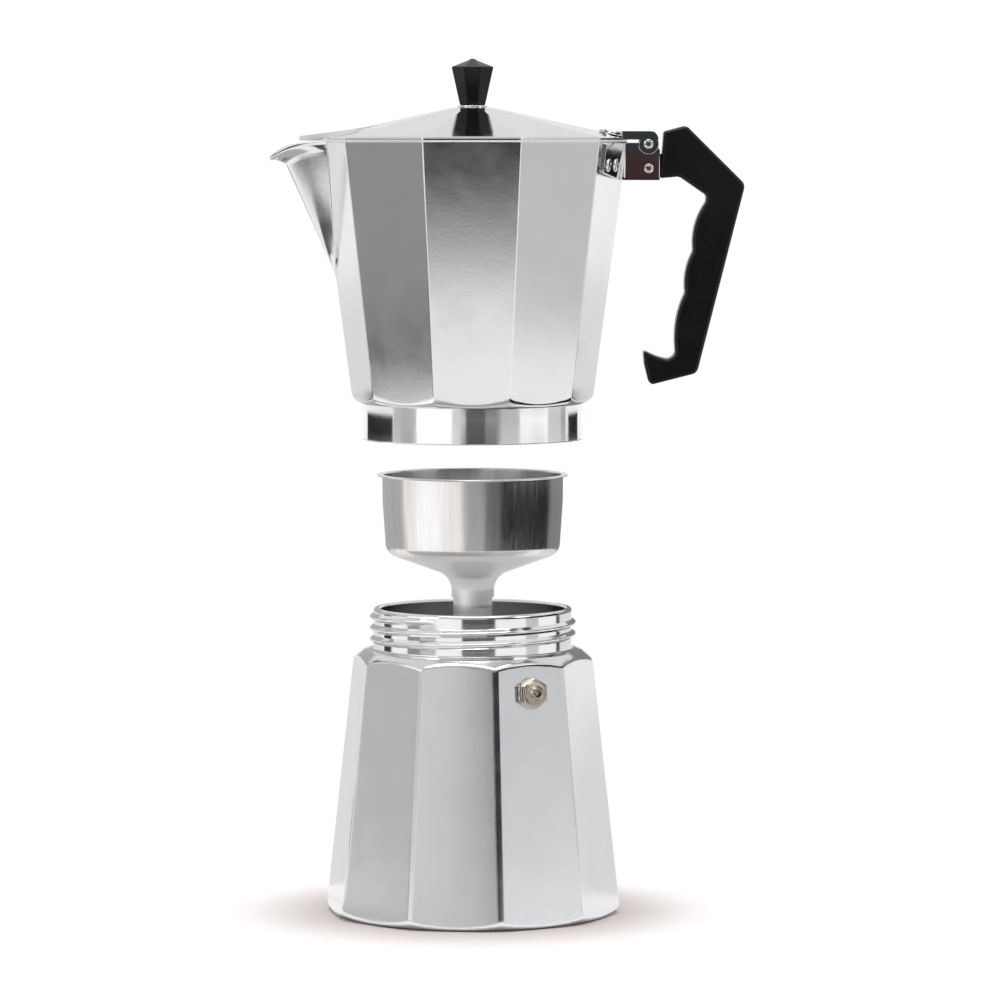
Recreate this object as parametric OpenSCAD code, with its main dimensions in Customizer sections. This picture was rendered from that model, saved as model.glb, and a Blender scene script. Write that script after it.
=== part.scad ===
// Stovetop moka pot, twelve-cup size, drawn lifted apart: the boiler stands on the
// floor, the funnel hangs above it and the collector with lid and handle above that.
// Millimetres, +Z up. The origin is the centre of the boiler's foot, the spout
// points to -X and the handle to +X.

/* [Boiler] */
// Radius over the corners of the ten-sided body, at the floor
boiler_foot_r = 66.7; // [64:0.1:69]
// Radius over the corners where the flat sides end at the top
boiler_top_r = 54.1; // [52:0.1:56]
// Height at which the flat sides end
boiler_side_h = 114; // [110:1:116]
// Height of the threaded mouth's rim
rim_h = 137; // [134:1:140]
// Wall thickness of the boiler
boiler_wall = 3; // [2:0.5:4]
// Turn of the boiler's sides against the collector's, degrees
boiler_twist = -6.7; // [-18:0.1:18]
// Radius of the mouth
mouth_r = 41.2; // [41:0.1:41.6]
// Radius of the neck between the threads
neck_r = 44.4; // [44:0.1:44.8]

/* [Thread] */
// Radius over the thread's crests
crest_r = 46.2; // [45.6:0.1:46.3]
// Rise of the thread in one turn
pitch = 5; // [4.6:0.1:5.2]
// Turns from tight to free
free_turns = 3; // [2:1:3]

/* [Safety valve] */
// Height of the valve on its side
valve_h = 103; // [92:1:105]
// Width over the flats of its hexagon
valve_flats = 12; // [11:0.5:13]
// Distance that its nozzle stands out
valve_reach = 6.6; // [6:0.2:7.4]

/* [Funnel] */
// Radius of the basket's flange
flange_r = 42.8; // [42.4:0.1:43.6]
// Thickness of the sheet that the basket is drawn from
sheet = 0.8; // [0.6:0.1:1]
// Outer radius of the basket under its flange
basket_r = 40.4; // [39.6:0.1:40.6]
// Depth of the basket's straight wall
basket_depth = 31; // [28:1:32]
// Outer radius of the stem
stem_r = 8.66; // [8:0.02:9]
// Height of the stem's lower end above the floor, when seated
stem_clear = 11; // [9:1:20]

/* [Seal] */
// Outer radius of the rubber ring
gasket_r = 46; // [45.5:0.1:46.2]
// Inner radius of the rubber ring
gasket_hole_r = 38; // [36:0.5:39]
// Thickness of the rubber ring
gasket_t = 3.4; // [3.2:0.1:3.6]
// Radius of the filter plate
plate_r = 42; // [41.5:0.1:42.2]

/* [Collector] */
// Radius over the corners of the ten-sided body, at its top edge
collector_top_r = 69; // [68:0.1:70]
// Radius over the corners at the lower end of the flat sides
collector_low_r = 54.1; // [53:0.1:55]
// Height from the seal's seat to the top edge
collector_h = 110.2; // [108:0.2:112]
// Wall thickness of the collector
collector_wall = 2.4; // [2:0.2:2.8]
// Outer radius of the skirt
skirt_r = 49.2; // [49:0.1:50]
// Bore radius of the skirt
skirt_bore_r = 46.6; // [46.5:0.1:46.8]
// Depth of the skirt under the seat
skirt_depth = 22.4; // [20:0.2:22.4]
// Height of the coffee column's tip under the top edge
column_drop = 34; // [28:1:45]

/* [Spout] */
// Depth at which the spout leaves the body, under the top edge
spout_root_drop = 59; // [52:1:62]
// Half the spout's width at the top edge
spout_half_w = 14.5; // [12:0.5:16]
// Distance of the lip's tip from the axis
lip_x = 90.5; // [88:0.5:92]
// Wall thickness of the spout
spout_wall = 1.8; // [1.4:0.2:2.2]

/* [Lid] */
// Height of the lid's upright edge
lid_edge_h = 1.8; // [1.6:0.2:2.4]
// Height of the lid's flat top over the collector's edge
lid_top_h = 15.2; // [14:0.2:16]
// Thickness of the lid
lid_t = 1.4; // [1.2:0.1:1.8]

/* [Knob] */
// Radius over the knob's corners at its foot
knob_foot_r = 6.1; // [5.5:0.1:6.6]
// Radius over its corners at its widest
knob_top_r = 10; // [9:0.1:10.5]
// Height from foot to widest place
knob_h = 17; // [15:0.5:18]
// Height of the pointed top
knob_point_h = 3.7; // [3:0.1:4.5]

/* [Handle and bracket] */
// Width of the handle
handle_w = 17; // [15:0.5:18]
// Width of the tongue that goes between the bracket's cheeks
tongue_w = 12.6; // [12:0.1:12.7]
// Distance of the hinge pin from the axis
hinge_x = 78.05; // [77.8:0.05:78.4]
// Depth of the hinge pin under the collector's top edge
hinge_drop = 1.2; // [1:0.1:1.4]
// Outer radius of the hollow hinge pin
pin_r = 1.5; // [1.3:0.1:1.6]
// Thickness of the bracket's and the lid leaf's steel
steel_t = 1; // [0.8:0.1:1]

/* [Lifted apart] */
// Height of the funnel over its seat
funnel_raise = 59; // [0:1:90]
// Further height of the seal over the funnel
seal_raise = 19.6; // [18.6:0.5:40]

/* [Hidden] */

$fn = 96;
SIDES = 10;
IN = cos(180 / SIDES);
HALF_SIDE = 180 / SIDES;
EPS = 0.05;

seat_h = rim_h + sheet + gasket_t;
thread_raise = free_turns * pitch;
flange_z = rim_h + sheet + funnel_raise;
gasket_z = rim_h + sheet + funnel_raise + seal_raise;
top_z = seat_h + collector_h + funnel_raise + seal_raise + thread_raise;

boiler_taper = (boiler_foot_r - boiler_top_r) / boiler_side_h;
boiler_lean = atan(boiler_taper * IN);
foot_round = 7.5;
foot_flat_r = 59.8;
inside_foot_r = 55.8;
inside_shoulder_drop = 4;
shoulder_h = 3;
thread_low = 6.4;
thread_turns = 2.7;

valve_az = boiler_twist - 3 * HALF_SIDE;
valve_shank_r = 4.8;
washer_t = 0.7;
chamber_r = 3.2;
chamber_low = -7;
chamber_top = 3.8;
nozzle_r = 2.7;
nozzle_hole_r = 1.65;
seat_ring_t = 1.5;
plunger_head_t = 1.2;
plunger_pin_r = 0.8;
spring_r = 1.9;
spring_wire_r = 0.35;
spring_turns = 5;

basket_low_r = basket_r - 1.4;
basket_corner = 6;
cone_slope = 20;
throat_round = 9;
throat_r = stem_r + 0.04 + sheet;
throat_end = 3;

side_h = collector_h + 1.8;
collector_taper = (collector_top_r - collector_low_r) / side_h;
collector_lean = atan(collector_taper * IN);
collector_round = 10;
floor_t = 5.6;
dish_depth = 2.6;
plate_recess = 1.2;
column_low_r = 11;
column_top_r = 7.4;
column_wall = 3;
spout_bite = 1.2;

hinge = [hinge_x, -hinge_drop];
cheek_y = tongue_w / 2 + 0.1;
leaf_y = cheek_y + steel_t + 0.2;
leaf_top = 4.7;
rivet_at = [78.2, -12];
wing_h = 17.3;
wing_gap = 0.5;
wing_near = 7.3;
wing_far = 35;
wing_rivets = [17.2, 28.5];
lid_gap = 0.3;
lid_top_r = 8;
screw_r = 2;
screw_hole_r = screw_r + 0.1;
wing_rivet_r = 1.55;
leaf_rivet_r = 1.2;
rivet_play = 0.05;
lid_slope = atan((lid_top_h - lid_edge_h) / (collector_top_r - lid_top_r));

// A point at angle a on a circle
function on_circle(c, r, a) = c + r * [cos(a), sin(a)];

// Points of an arc from angle a to angle b
function arc(c, r, a, b, n = 10) = [for (i = [0:n]) on_circle(c, r, a + (b - a) * i / n)];

// Points of a shallow arc from p to q that bulges to its left by rise, without p
function bow(p, q, rise, n = 8) =
    let (d = q - p, left = [-d.y, d.x] / norm(d))
    [for (i = [1:n]) let (t = i / n) p + d * t + left * rise * 4 * t * (1 - t)];

// A closed skin over a list of rings that hold equally many points. Its two ends are
// closed by strips between a ring's first and second half.
module skin(rings) {
    m = len(rings[0]);
    last = (len(rings) - 1) * m;
    strip = [
        for (j = [0:ceil(m / 2) - 2])
            let (across = m - 1 - j)
            each [[j, j + 1, across], if (across - 1 > j + 1) [j + 1, across - 1, across]]
    ];
    sides = [
        for (i = [0:len(rings) - 2], j = [0:m - 1])
            let (a = i * m + j, b = i * m + (j + 1) % m)
            each [[a, b, b + m], [a, b + m, a + m]]
    ];
    foot = [for (face = strip) [face[2], face[1], face[0]]];
    head = [for (face = strip) face + [last, last, last]];
    polyhedron([for (ring = rings) each ring], concat(foot, sides, head), 10);
}

// A ten-sided body whose corner radius runs from low to high
module ten_sided(low, high, h) {
    linear_extrude(h, scale = high / low) circle(low, $fn = SIDES);
}

// A helical ridge of trapezoid section that fades in and out at its ends
module helix_ridge(root_r, tip_r, turns, root_w, tip_w, steps = 40) {
    n = round(turns * steps);
    fade = steps / 8;
    skin([
        for (i = [0:n])
            let (a = 360 * i / steps, z = pitch * i / steps)
            let (k = min(1, (i + 0.5) / fade, (n - i + 0.5) / fade))
            let (r = root_r + (tip_r - root_r) * k)
            [for (p = [[root_r, -root_w], [r, -tip_w], [r, tip_w], [root_r, root_w]])
                [p.x * cos(a), p.x * sin(a), z + p.y / 2]]
    ]);
}

// Moves a piece to the valve, with +Z pointing straight out of its flat side
module at_valve() {
    r = (boiler_foot_r - boiler_taper * valve_h) * IN;
    rotate([0, 0, valve_az]) translate([r, 0, valve_h]) rotate([0, 90 - boiler_lean, 0])
        children();
}

// Moves a piece to the collector's top edge
module at_top() {
    translate([0, 0, top_z]) children();
}

// Stands an outline drawn in X and Z upright, from y - w / 2 to y + w / 2
module upright(w, y = 0) {
    translate([0, y + w / 2, 0]) rotate([90, 0, 0]) linear_extrude(w) children();
}

// A plate on the collector's flat side next to the handle corner, side is -1 or 1.
// X runs away from the corner, Y up the side and Z straight out of it.
module on_side(side) {
    half = collector_top_r * sin(HALF_SIDE);
    rotate([0, 0, side * HALF_SIDE]) translate([collector_top_r * IN, -side * half, 0])
        rotate([0, collector_lean, 0]) rotate([90, 0, 90]) mirror([side < 0 ? 1 : 0, 0, 0])
            children();
}

// The boiler's outline turned about its axis, which rounds foot and shoulder
module boiler_envelope() {
    wide = foot_flat_r + foot_round;
    rotate_extrude() polygon(concat(
        [[0, 0]],
        arc([foot_flat_r, foot_round], foot_round, -90, 0),
        [[wide, boiler_side_h - 20], [boiler_top_r + 0.6, boiler_side_h - 0.6]],
        arc([neck_r + 2.2, boiler_side_h + shoulder_h - 0.4], 2, 60, 90, 4),
        [[neck_r, boiler_side_h + shoulder_h + 1.6], [0, boiler_side_h + shoulder_h + 1.6]]
    ));
}

module boiler_cavity() {
    shift = boiler_wall / IN;
    low = boiler_wall + 0.5;
    intersection() {
        translate([0, 0, low])
            ten_sided(boiler_foot_r - shift, boiler_top_r - shift, boiler_side_h - low);
        rotate_extrude() polygon(concat(
            [[0, low]],
            arc([inside_foot_r, low + foot_round], foot_round, -90, 0),
            [[inside_foot_r + foot_round, boiler_side_h / 2]],
            [[mouth_r, boiler_side_h - inside_shoulder_drop]],
            [[0, boiler_side_h - inside_shoulder_drop]]
        ));
    }
    translate([0, 0, boiler_side_h - inside_shoulder_drop - 2]) cylinder(h = rim_h, r = mouth_r);
}

module boiler_shell() {
    color("silver") difference() {
        union() {
            rotate([0, 0, boiler_twist]) intersection() {
                ten_sided(boiler_foot_r, boiler_foot_r - boiler_taper * rim_h, rim_h);
                boiler_envelope();
            }
            translate([0, 0, boiler_side_h]) rotate_extrude() polygon([
                [0, 0], [neck_r, 0], [neck_r, rim_h - boiler_side_h - 0.8],
                [neck_r - 0.8, rim_h - boiler_side_h], [0, rim_h - boiler_side_h]
            ]);
            translate([0, 0, boiler_side_h + thread_low])
                helix_ridge(neck_r - 0.3, crest_r, thread_turns, 3.6, 1, 40);
        }
        rotate([0, 0, boiler_twist]) boiler_cavity();
        at_valve() translate([0, 0, -15]) cylinder(h = 30, r = valve_shank_r + EPS);
    }
}

module valve_body() {
    hex_r = valve_flats / 2 / cos(30);
    disc_r = valve_flats / 2 - 0.4;
    color("tan") at_valve() difference() {
        union() {
            translate([0, 0, chamber_low]) cylinder(h = -chamber_low + 1, r = valve_shank_r);
            translate([0, 0, washer_t]) cylinder(h = 1.5, r = hex_r, $fn = 6);
            translate([0, 0, washer_t]) cylinder(h = 3, r = disc_r - 0.5);
            translate([0, 0, washer_t + 2.1]) cylinder(h = 1.6, r = hex_r, $fn = 6);
            rotate_extrude() polygon([
                [0, washer_t + 3], [disc_r, washer_t + 3], [disc_r, washer_t + 4.3],
                [disc_r - 0.6, washer_t + 4.7], [nozzle_r + 0.5, washer_t + 4.5],
                [nozzle_r, valve_reach - 0.4], [nozzle_r - 0.4, valve_reach], [0, valve_reach]
            ]);
        }
        translate([0, 0, chamber_low - 1])
            cylinder(h = chamber_top - chamber_low + 1, r = chamber_r);
        cylinder(h = valve_reach + 1, r = nozzle_hole_r);
    }
}

module valve_washer() {
    color("lightgray") at_valve() difference() {
        cylinder(h = washer_t, r = valve_flats / 2 + 0.5);
        translate([0, 0, -1]) cylinder(h = washer_t + 2, r = valve_shank_r + EPS);
    }
}

module valve_plunger() {
    low = chamber_low + seat_ring_t + EPS;
    color("goldenrod") at_valve() translate([0, 0, low]) rotate_extrude() polygon([
        [0, 0], [2.2, 0], [2.7, 0.5], [2.7, plunger_head_t], [plunger_pin_r, plunger_head_t],
        [plunger_pin_r, valve_reach - low - 1.2], [plunger_pin_r - 0.3, valve_reach - low - 0.9],
        [0, valve_reach - low - 0.9]
    ]);
}

module valve_spring() {
    steps = 16;
    low = chamber_low + seat_ring_t + plunger_head_t + spring_wire_r + 0.2;
    high = chamber_top - spring_wire_r - 0.1;
    color("gray") at_valve() skin([
        for (i = [0:spring_turns * steps])
            let (a = 360 * i / steps, z = low + (high - low) * i / (spring_turns * steps))
            [for (b = [0:60:300])
                let (r = spring_r + spring_wire_r * cos(b))
                [r * cos(a), r * sin(a), z + spring_wire_r * sin(b)]]
    ]);
}

module valve_seat_ring() {
    color("tan") at_valve() translate([0, 0, chamber_low]) difference() {
        cylinder(h = seat_ring_t, r = chamber_r - 0.02);
        translate([0, 0, -1]) cylinder(h = seat_ring_t + 2, r = 1.4);
    }
}

// One side of the basket's sheet: the wall, the corner, the cone and the throat,
// moved inwards by t
function basket_side(t) =
    let (corner = [basket_low_r - basket_corner, -basket_depth])
    let (corner_end = on_circle(corner, basket_corner, cone_slope - 90))
    let (throat_x = throat_r + throat_round)
    let (throat_top = [throat_x, 0] + throat_round * [-sin(cone_slope), cos(cone_slope)])
    let (throat_z = corner_end.y - tan(cone_slope) * (corner_end.x - throat_top.x) - throat_top.y)
    concat(
        [[basket_r - t, -sheet]],
        arc(corner, basket_corner - t, 0, cone_slope - 90),
        arc([throat_x, throat_z], throat_round + t, 90 + cone_slope, 180),
        [[throat_r - t, throat_z - throat_end]]
    );

module funnel_basket() {
    inner = basket_side(sheet);
    outer = basket_side(0);
    color("gainsboro") translate([0, 0, flange_z]) rotate_extrude() polygon(concat(
        [[basket_r - sheet, 0]],
        [for (i = [1:len(inner) - 1]) inner[i]],
        [for (i = [len(outer) - 1:-1:0]) outer[i]],
        [[flange_r - 0.2, -sheet], [flange_r, -sheet / 2], [flange_r - 0.2, 0]]
    ));
}

module funnel_stem() {
    outer = basket_side(0);
    high = outer[len(outer) - 1].y + throat_end;
    low = stem_clear - rim_h - sheet;
    color("gainsboro") translate([0, 0, flange_z]) rotate_extrude() polygon([
        [stem_r - 1, high], [stem_r - 1, low + 0.6], [stem_r - 0.6, low],
        [stem_r, low], [stem_r, high]
    ]);
}

// A round sheet with rings of holes and a plain border
module perforated(r, t, rings, spacing, hole_r) {
    linear_extrude(t) difference() {
        circle(r);
        circle(hole_r, $fn = 16);
        for (k = [1:rings], i = [0:6 * k - 1])
            rotate(60 * i / k) translate([k * spacing, 0]) circle(hole_r, $fn = 16);
    }
}

module funnel_screen() {
    color("silver") translate([0, 0, flange_z - basket_depth - 3.8])
        perforated(basket_low_r - basket_corner + 3.4, 0.6, 6, 5, 0.8);
}

module gasket() {
    color("whitesmoke") translate([0, 0, gasket_z]) difference() {
        cylinder(h = gasket_t, r = gasket_r);
        translate([0, 0, -1]) cylinder(h = gasket_t + 2, r = gasket_hole_r);
    }
}

module filter_plate() {
    color("silver") translate([0, 0, gasket_z + gasket_t]) difference() {
        perforated(plate_r, sheet, 7, 4.8, 0.7);
        translate([0, 0, -1]) difference() {
            cylinder(h = 1.3, r = plate_r + 1);
            cylinder(h = 1.3, r = plate_r - 0.6);
        }
    }
}

// Corner radius of the collector at depth d under its top edge
function collector_r(d) = collector_top_r - collector_taper * d;

// One level of the spout: a ring of points from the root inside the body's wall, out
// along one flank to the nose and back. It sinks from the root to the nose.
function spout_level(root_z, nose, half_w, inset) =
    let (w = half_w - inset * 1.1, nose_w = min(1.8, half_w) - 0.6 * inset)
    let (root_x = collector_r(-root_z) - half_w * tan(HALF_SIDE) - spout_bite)
    let (reach = nose.x - inset * 1.6 - root_x)
    let (edge = [for (u = [0, 0.35, 0.65, 0.88, 1]) [
        -root_x - reach * u,
        -(w * (1 - u) + nose_w * u) * sqrt(1 - pow(u, 10)),
        root_z + (nose.y - root_z) * pow(u, 3)
    ]])
    concat(
        [[3 - root_x, -w, root_z]], edge,
        [for (i = [len(edge) - 2:-1:0]) [edge[i].x, -edge[i].y, edge[i].z]],
        [[3 - root_x, w, root_z]]
    );

// The spout from its root up to the lip. With an inset it is the channel inside.
module spout_form(inset) {
    root = [collector_r(spout_root_drop) + 0.4, -spout_root_drop];
    throat = [lip_x - 7.3, -9.8];
    low = inset > 0 ? 0.3 : 0;
    skin([
        for (i = [0:3])
            let (up = low + (1 - low) * i / 3, nose = root + (throat - root) * up)
            spout_level(nose.y + 5 * up * up, nose, spout_half_w * (0.06 + 0.86 * up), inset),
        spout_level(-2.9, [lip_x - 3.2, -8.6], spout_half_w * 0.95, inset),
        spout_level(-1.5, [lip_x - 0.4, -7.8], spout_half_w * 0.98, inset),
        spout_level(0, [lip_x, -6.6], spout_half_w, inset),
        if (inset > 0) spout_level(3, [lip_x + 2, -3.6], spout_half_w, inset)
    ]);
}

// The collector's outline turned about its axis: it rounds the lower corners
module collector_envelope() {
    low = -side_h - 4.6;
    centre = [skirt_r - 2.6, low + collector_round - 0.35];
    rotate_extrude() polygon(concat(
        [[0, 0], [0, low], [skirt_r, low]],
        arc(centre, collector_round, -74, 0),
        [[collector_top_r + 1, -30], [collector_top_r + 1, 0]]
    ));
}

module collector_cavity() {
    shift = collector_wall / IN;
    depth = collector_h - floor_t;
    floor_z = -depth;
    low_r = collector_r(depth) - shift;
    intersection() {
        translate([0, 0, floor_z])
            ten_sided(low_r, collector_r(-2) - shift, depth + 2);
        rotate_extrude() polygon(concat(
            [[0, floor_z]],
            arc([low_r - 9, floor_z + 8], 8, -90, 0),
            [[collector_top_r + 1, -20], [collector_top_r + 1, 5], [0, 5]]
        ));
    }
}

// The hollow column through which the coffee rises
module column() {
    foot = -collector_h + floor_t - 1;
    rotate_extrude() polygon(concat(
        [[0, foot], [column_low_r + 3, foot], [column_low_r + 3, foot + 1]],
        arc([column_low_r + 3, foot + 4], 3, -90, -170, 5),
        [[column_top_r, -column_drop - 6]],
        arc([column_top_r - 4, -column_drop - 4], 4, 0, 90, 6),
        [[0, -column_drop]]
    ));
}

module column_bore() {
    low = -collector_h;
    high = -column_drop - 3;
    translate([0, 0, low]) cylinder(h = high - low, r1 = column_low_r - column_wall,
        r2 = column_top_r - column_wall);
    for (a = [0, 180]) rotate([0, 0, a + 90]) translate([0, -2.4, high - 9])
        cube([column_low_r, 4.8, 8]);
}

// What is cut into the collector from below: bore, thread, plate seat and dish
module collector_underside() {
    seat = -collector_h;
    translate([0, 0, seat - skirt_depth - 1]) cylinder(h = skirt_depth + 1, r = skirt_bore_r);
    translate([0, 0, seat - EPS]) cylinder(h = plate_recess + EPS, r = plate_r + 0.4);
    translate([0, 0, seat]) cylinder(h = dish_depth, r = gasket_hole_r);
    translate([0, 0, seat - skirt_depth + 4])
        helix_ridge(skirt_bore_r - 0.2, skirt_bore_r + 0.9, 2.4, 3, 1.2, 36);
}

module collector_shell() {
    seat = -collector_h;
    color("silver") at_top() {
        difference() {
            union() {
                intersection() {
                    translate([0, 0, -side_h - 10])
                        ten_sided(collector_r(side_h + 10), collector_top_r, side_h + 10);
                    collector_envelope();
                }
                translate([0, 0, seat - skirt_depth])
                    cylinder(h = skirt_depth + 1, r = skirt_r);
                spout_form(0);
            }
            collector_cavity();
            spout_form(spout_wall);
            collector_underside();
            translate([0, 0, seat]) cylinder(h = 10, r = column_low_r - column_wall);
            wing_rivet_places() translate([0, 0, -10]) cylinder(h = 20, r = wing_rivet_r + rivet_play);
        }
        difference() {
            column();
            column_bore();
        }
    }
}

module wing_rivet_places() {
    for (side = [-1, 1], x = wing_rivets) on_side(side) translate([x, -10.5, 0]) children();
}

// One of the bracket's cheeks, from the collector's wall to the handle
module cheek_outline() {
    difference() {
        union() {
            polygon([[66.95, -0.6], [64.75, -wing_h], [82.8, -wing_h], [83.2, -4], [81.5, -0.6]]);
            translate(hinge) circle(3.4);
        }
        translate(hinge) circle(pin_r + 0.02);
        translate(rivet_at) circle(pin_r + 0.02);
    }
}

module handle_bracket() {
    color("lightgray") at_top() {
        for (side = [-1, 1]) {
            upright(steel_t, side * (cheek_y + steel_t / 2)) cheek_outline();
            difference() {
                on_side(side) translate([wing_near, -wing_h, EPS])
                    linear_extrude(steel_t) polygon([
                        [0, 0], [wing_far - wing_near, 3.6], [wing_far - wing_near, wing_h - wing_gap],
                        [0, wing_h - wing_gap]
                    ]);
                wing_rivet_places() translate([0, 0, -10]) cylinder(h = 20, r = wing_rivet_r + rivet_play);
            }
        }
    }
}

// A rivet along Z with a domed head above z = 0 and a flat one below -grip
module rivet(r, head_r, head_t, grip) {
    rotate_extrude() polygon(concat(
        [[0, -grip - head_t * 0.7], [head_r, -grip - head_t * 0.7], [head_r, -grip], [r, -grip]],
        [[r, 0], [head_r, 0], [head_r * 0.9, head_t * 0.5], [head_r * 0.55, head_t * 0.9]],
        [[0, head_t]]
    ));
}

module bracket_rivets() {
    color("gray") at_top() wing_rivet_places() translate([0, 0, steel_t + EPS])
        rivet(wing_rivet_r, 2.9, 0.9, steel_t + EPS + collector_wall);
}

// The handle's outline: over the top, down the back, round the hook and up the
// finger grips
function handle_outline() =
    let (grip = [[90.1, -93.3], [94.4, -67.3], [97.9, -48.7], [103.6, -26.8]])
    concat(
        [[84.9, 4.4], [91.3, 6.1]],
        arc([94, 3.8], 2.9, 100, 45, 4),
        arc([116.6, -20.3], 4.1, 42, -12, 6),
        arc([96.6, -99.6], 4, -14, -78, 6),
        arc([80.9, -105], 3, -103, -160, 4),
        [[76.3, -98.7], [75.9, -93.6], [76.9, -93.1]],
        bow([76.9, -93.1], [86, -96.6], -0.4, 4),
        arc([86.4, -92.8], 3.8, -80, -12, 5),
        bow(grip[0], grip[1], 1.9),
        bow(grip[1], grip[2], 1.5),
        bow(grip[2], grip[3], 2.1),
        arc([101.6, -25], 2.1, 0, 62, 4),
        [[92.7, -16.3], [91.3, -15.7], [83.4, -16.4]]
    );

module handle() {
    color("#181412") at_top() difference() {
        union() {
            upright(handle_w) polygon(handle_outline());
            upright(tongue_w) polygon([[71, -5.5], [71, -16], [86, -16], [86, -5.5]]);
        }
        upright(handle_w) translate(rivet_at) circle(pin_r + 0.02);
    }
}

// A hollow rivet across the bracket, flared over the outer faces
module eyelet(at, half_w) {
    translate([at.x, 0, at.y]) rotate([90, 0, 0]) difference() {
        union() {
            cylinder(h = 2 * half_w, r = pin_r, center = true);
            for (side = [-1, 1]) translate([0, 0, side * (half_w + 0.25)])
                cylinder(h = 0.5, r = pin_r + 0.6, center = true);
        }
        cylinder(h = 2 * half_w + 2, r = pin_r - 0.6, center = true);
    }
}

module handle_rivet() {
    color("gray") at_top() eyelet(rivet_at, cheek_y + steel_t);
}

module hinge_pin() {
    color("gray") at_top() eyelet(hinge, leaf_y + steel_t + 0.1);
}

// The lid as a solid ten-sided cone with a beak that reaches over the spout, shrunk
// by inset and lowered by drop
module lid_form(inset, drop) {
    edge_r = collector_top_r - inset;
    translate([0, 0, lid_gap - drop]) linear_extrude(lid_edge_h - lid_gap) lid_plan(inset);
    translate([0, 0, lid_edge_h - drop])
        ten_sided(edge_r, lid_top_r, lid_top_h - lid_edge_h);
}

// The lid seen from above
module lid_plan(inset) {
    circle(collector_top_r - inset, $fn = SIDES);
    if (inset == 0) polygon([[-62, 15.5], [-76, 2.6], [-76.8, 0], [-76, -2.6], [-62, -15.5]]);
}

module lid_shell() {
    color("silver") at_top() difference() {
        lid_form(0, 0);
        lid_form(lid_t * 1.4, lid_t);
        translate([0, 0, lid_top_h - 4]) cylinder(h = 8, r = screw_hole_r);
        leaf_rivet_places() translate([0, 0, -8]) cylinder(h = 16, r = leaf_rivet_r + rivet_play);
    }
}

// Moves a piece to the lid's ridge under the leaf's tongue, tilted as the ridge is
module on_ridge() {
    translate([collector_top_r, 0, lid_edge_h + EPS]) rotate([0, lid_slope, 0]) children();
}

module leaf_rivet_places() {
    on_ridge() for (side = [-1, 1]) translate([-8.8, side * 4, 0]) children();
}

module leaf_cheek_outline() {
    difference() {
        union() {
            polygon(concat(
                [[66.3, 0.7], [66.3, leaf_top]],
                arc([78.9, leaf_top - 3.6], 3.6, 90, 0, 8),
                [hinge, [74.5, 0.5]]
            ));
            translate(hinge) circle(4.6);
        }
        translate(hinge) circle(pin_r + 0.06);
    }
}

module lid_leaf() {
    outer_y = leaf_y + steel_t;
    color("lightgray") at_top() {
        for (side = [-1, 1])
            upright(steel_t, side * (leaf_y + steel_t / 2)) leaf_cheek_outline();
        upright(2 * outer_y) polygon([
            [63.4, leaf_top - steel_t], [63.4, leaf_top], [78.4, leaf_top],
            [78.4, leaf_top - steel_t]
        ]);
        difference() {
            on_ridge() linear_extrude(steel_t)
                polygon([[-2.6, -8], [-2.6, 8], [-9, 7.4], [-13, 2.4], [-13, -2.4], [-9, -7.4]]);
            leaf_rivet_places() translate([0, 0, -8]) cylinder(h = 16, r = leaf_rivet_r + rivet_play);
        }
    }
}

module leaf_rivets() {
    color("gray") at_top() leaf_rivet_places() translate([0, 0, steel_t])
        rivet(leaf_rivet_r, 2.1, 0.7, steel_t + EPS + lid_t + 0.9);
}

module knob_washer() {
    color("silver") at_top() translate([0, 0, lid_top_h]) difference() {
        cylinder(h = 0.7, r = knob_foot_r + 0.8);
        translate([0, 0, -1]) cylinder(h = 3, r = screw_hole_r);
    }
}

module knob() {
    foot = lid_top_h + 0.7;
    color("#141210") at_top() difference() {
        translate([0, 0, foot]) rotate([0, 0, 22.5]) {
            linear_extrude(knob_h, scale = knob_top_r / knob_foot_r) circle(knob_foot_r, $fn = 8);
            translate([0, 0, knob_h])
                linear_extrude(knob_point_h, scale = 0.04) circle(knob_top_r, $fn = 8);
        }
        translate([0, 0, foot - 1]) cylinder(h = 12, r = screw_r);
    }
}

module knob_screw() {
    head_t = 1.6;
    low = lid_top_h - lid_t;
    color("gray") at_top() translate([0, 0, low]) rotate_extrude() polygon([
        [0, -head_t], [2.6, -head_t], [3.4, -head_t * 0.5], [3.4, 0], [screw_r - 0.04, 0],
        [screw_r - 0.04, 11.5], [screw_r - 0.5, 12], [0, 12]
    ]);
}

boiler_shell();
valve_body();
valve_washer();
valve_plunger();
valve_spring();
valve_seat_ring();
funnel_basket();
funnel_stem();
funnel_screen();
gasket();
filter_plate();
collector_shell();
handle_bracket();
bracket_rivets();
handle();
handle_rivet();
hinge_pin();
lid_shell();
lid_leaf();
leaf_rivets();
knob();
knob_screw();
knob_washer();
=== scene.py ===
"""Stovetop moka pot, lifted apart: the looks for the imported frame.

Lengths here are millimetres. They become metres where a mesh is made, and heights
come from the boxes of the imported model's nodes.
"""
from math import atan2, ceil, cos, pi, radians, sin, sqrt, tan

import bmesh
import bpy
from mathutils import Matrix, Vector
from mathutils.geometry import intersect_line_line_2d


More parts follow.
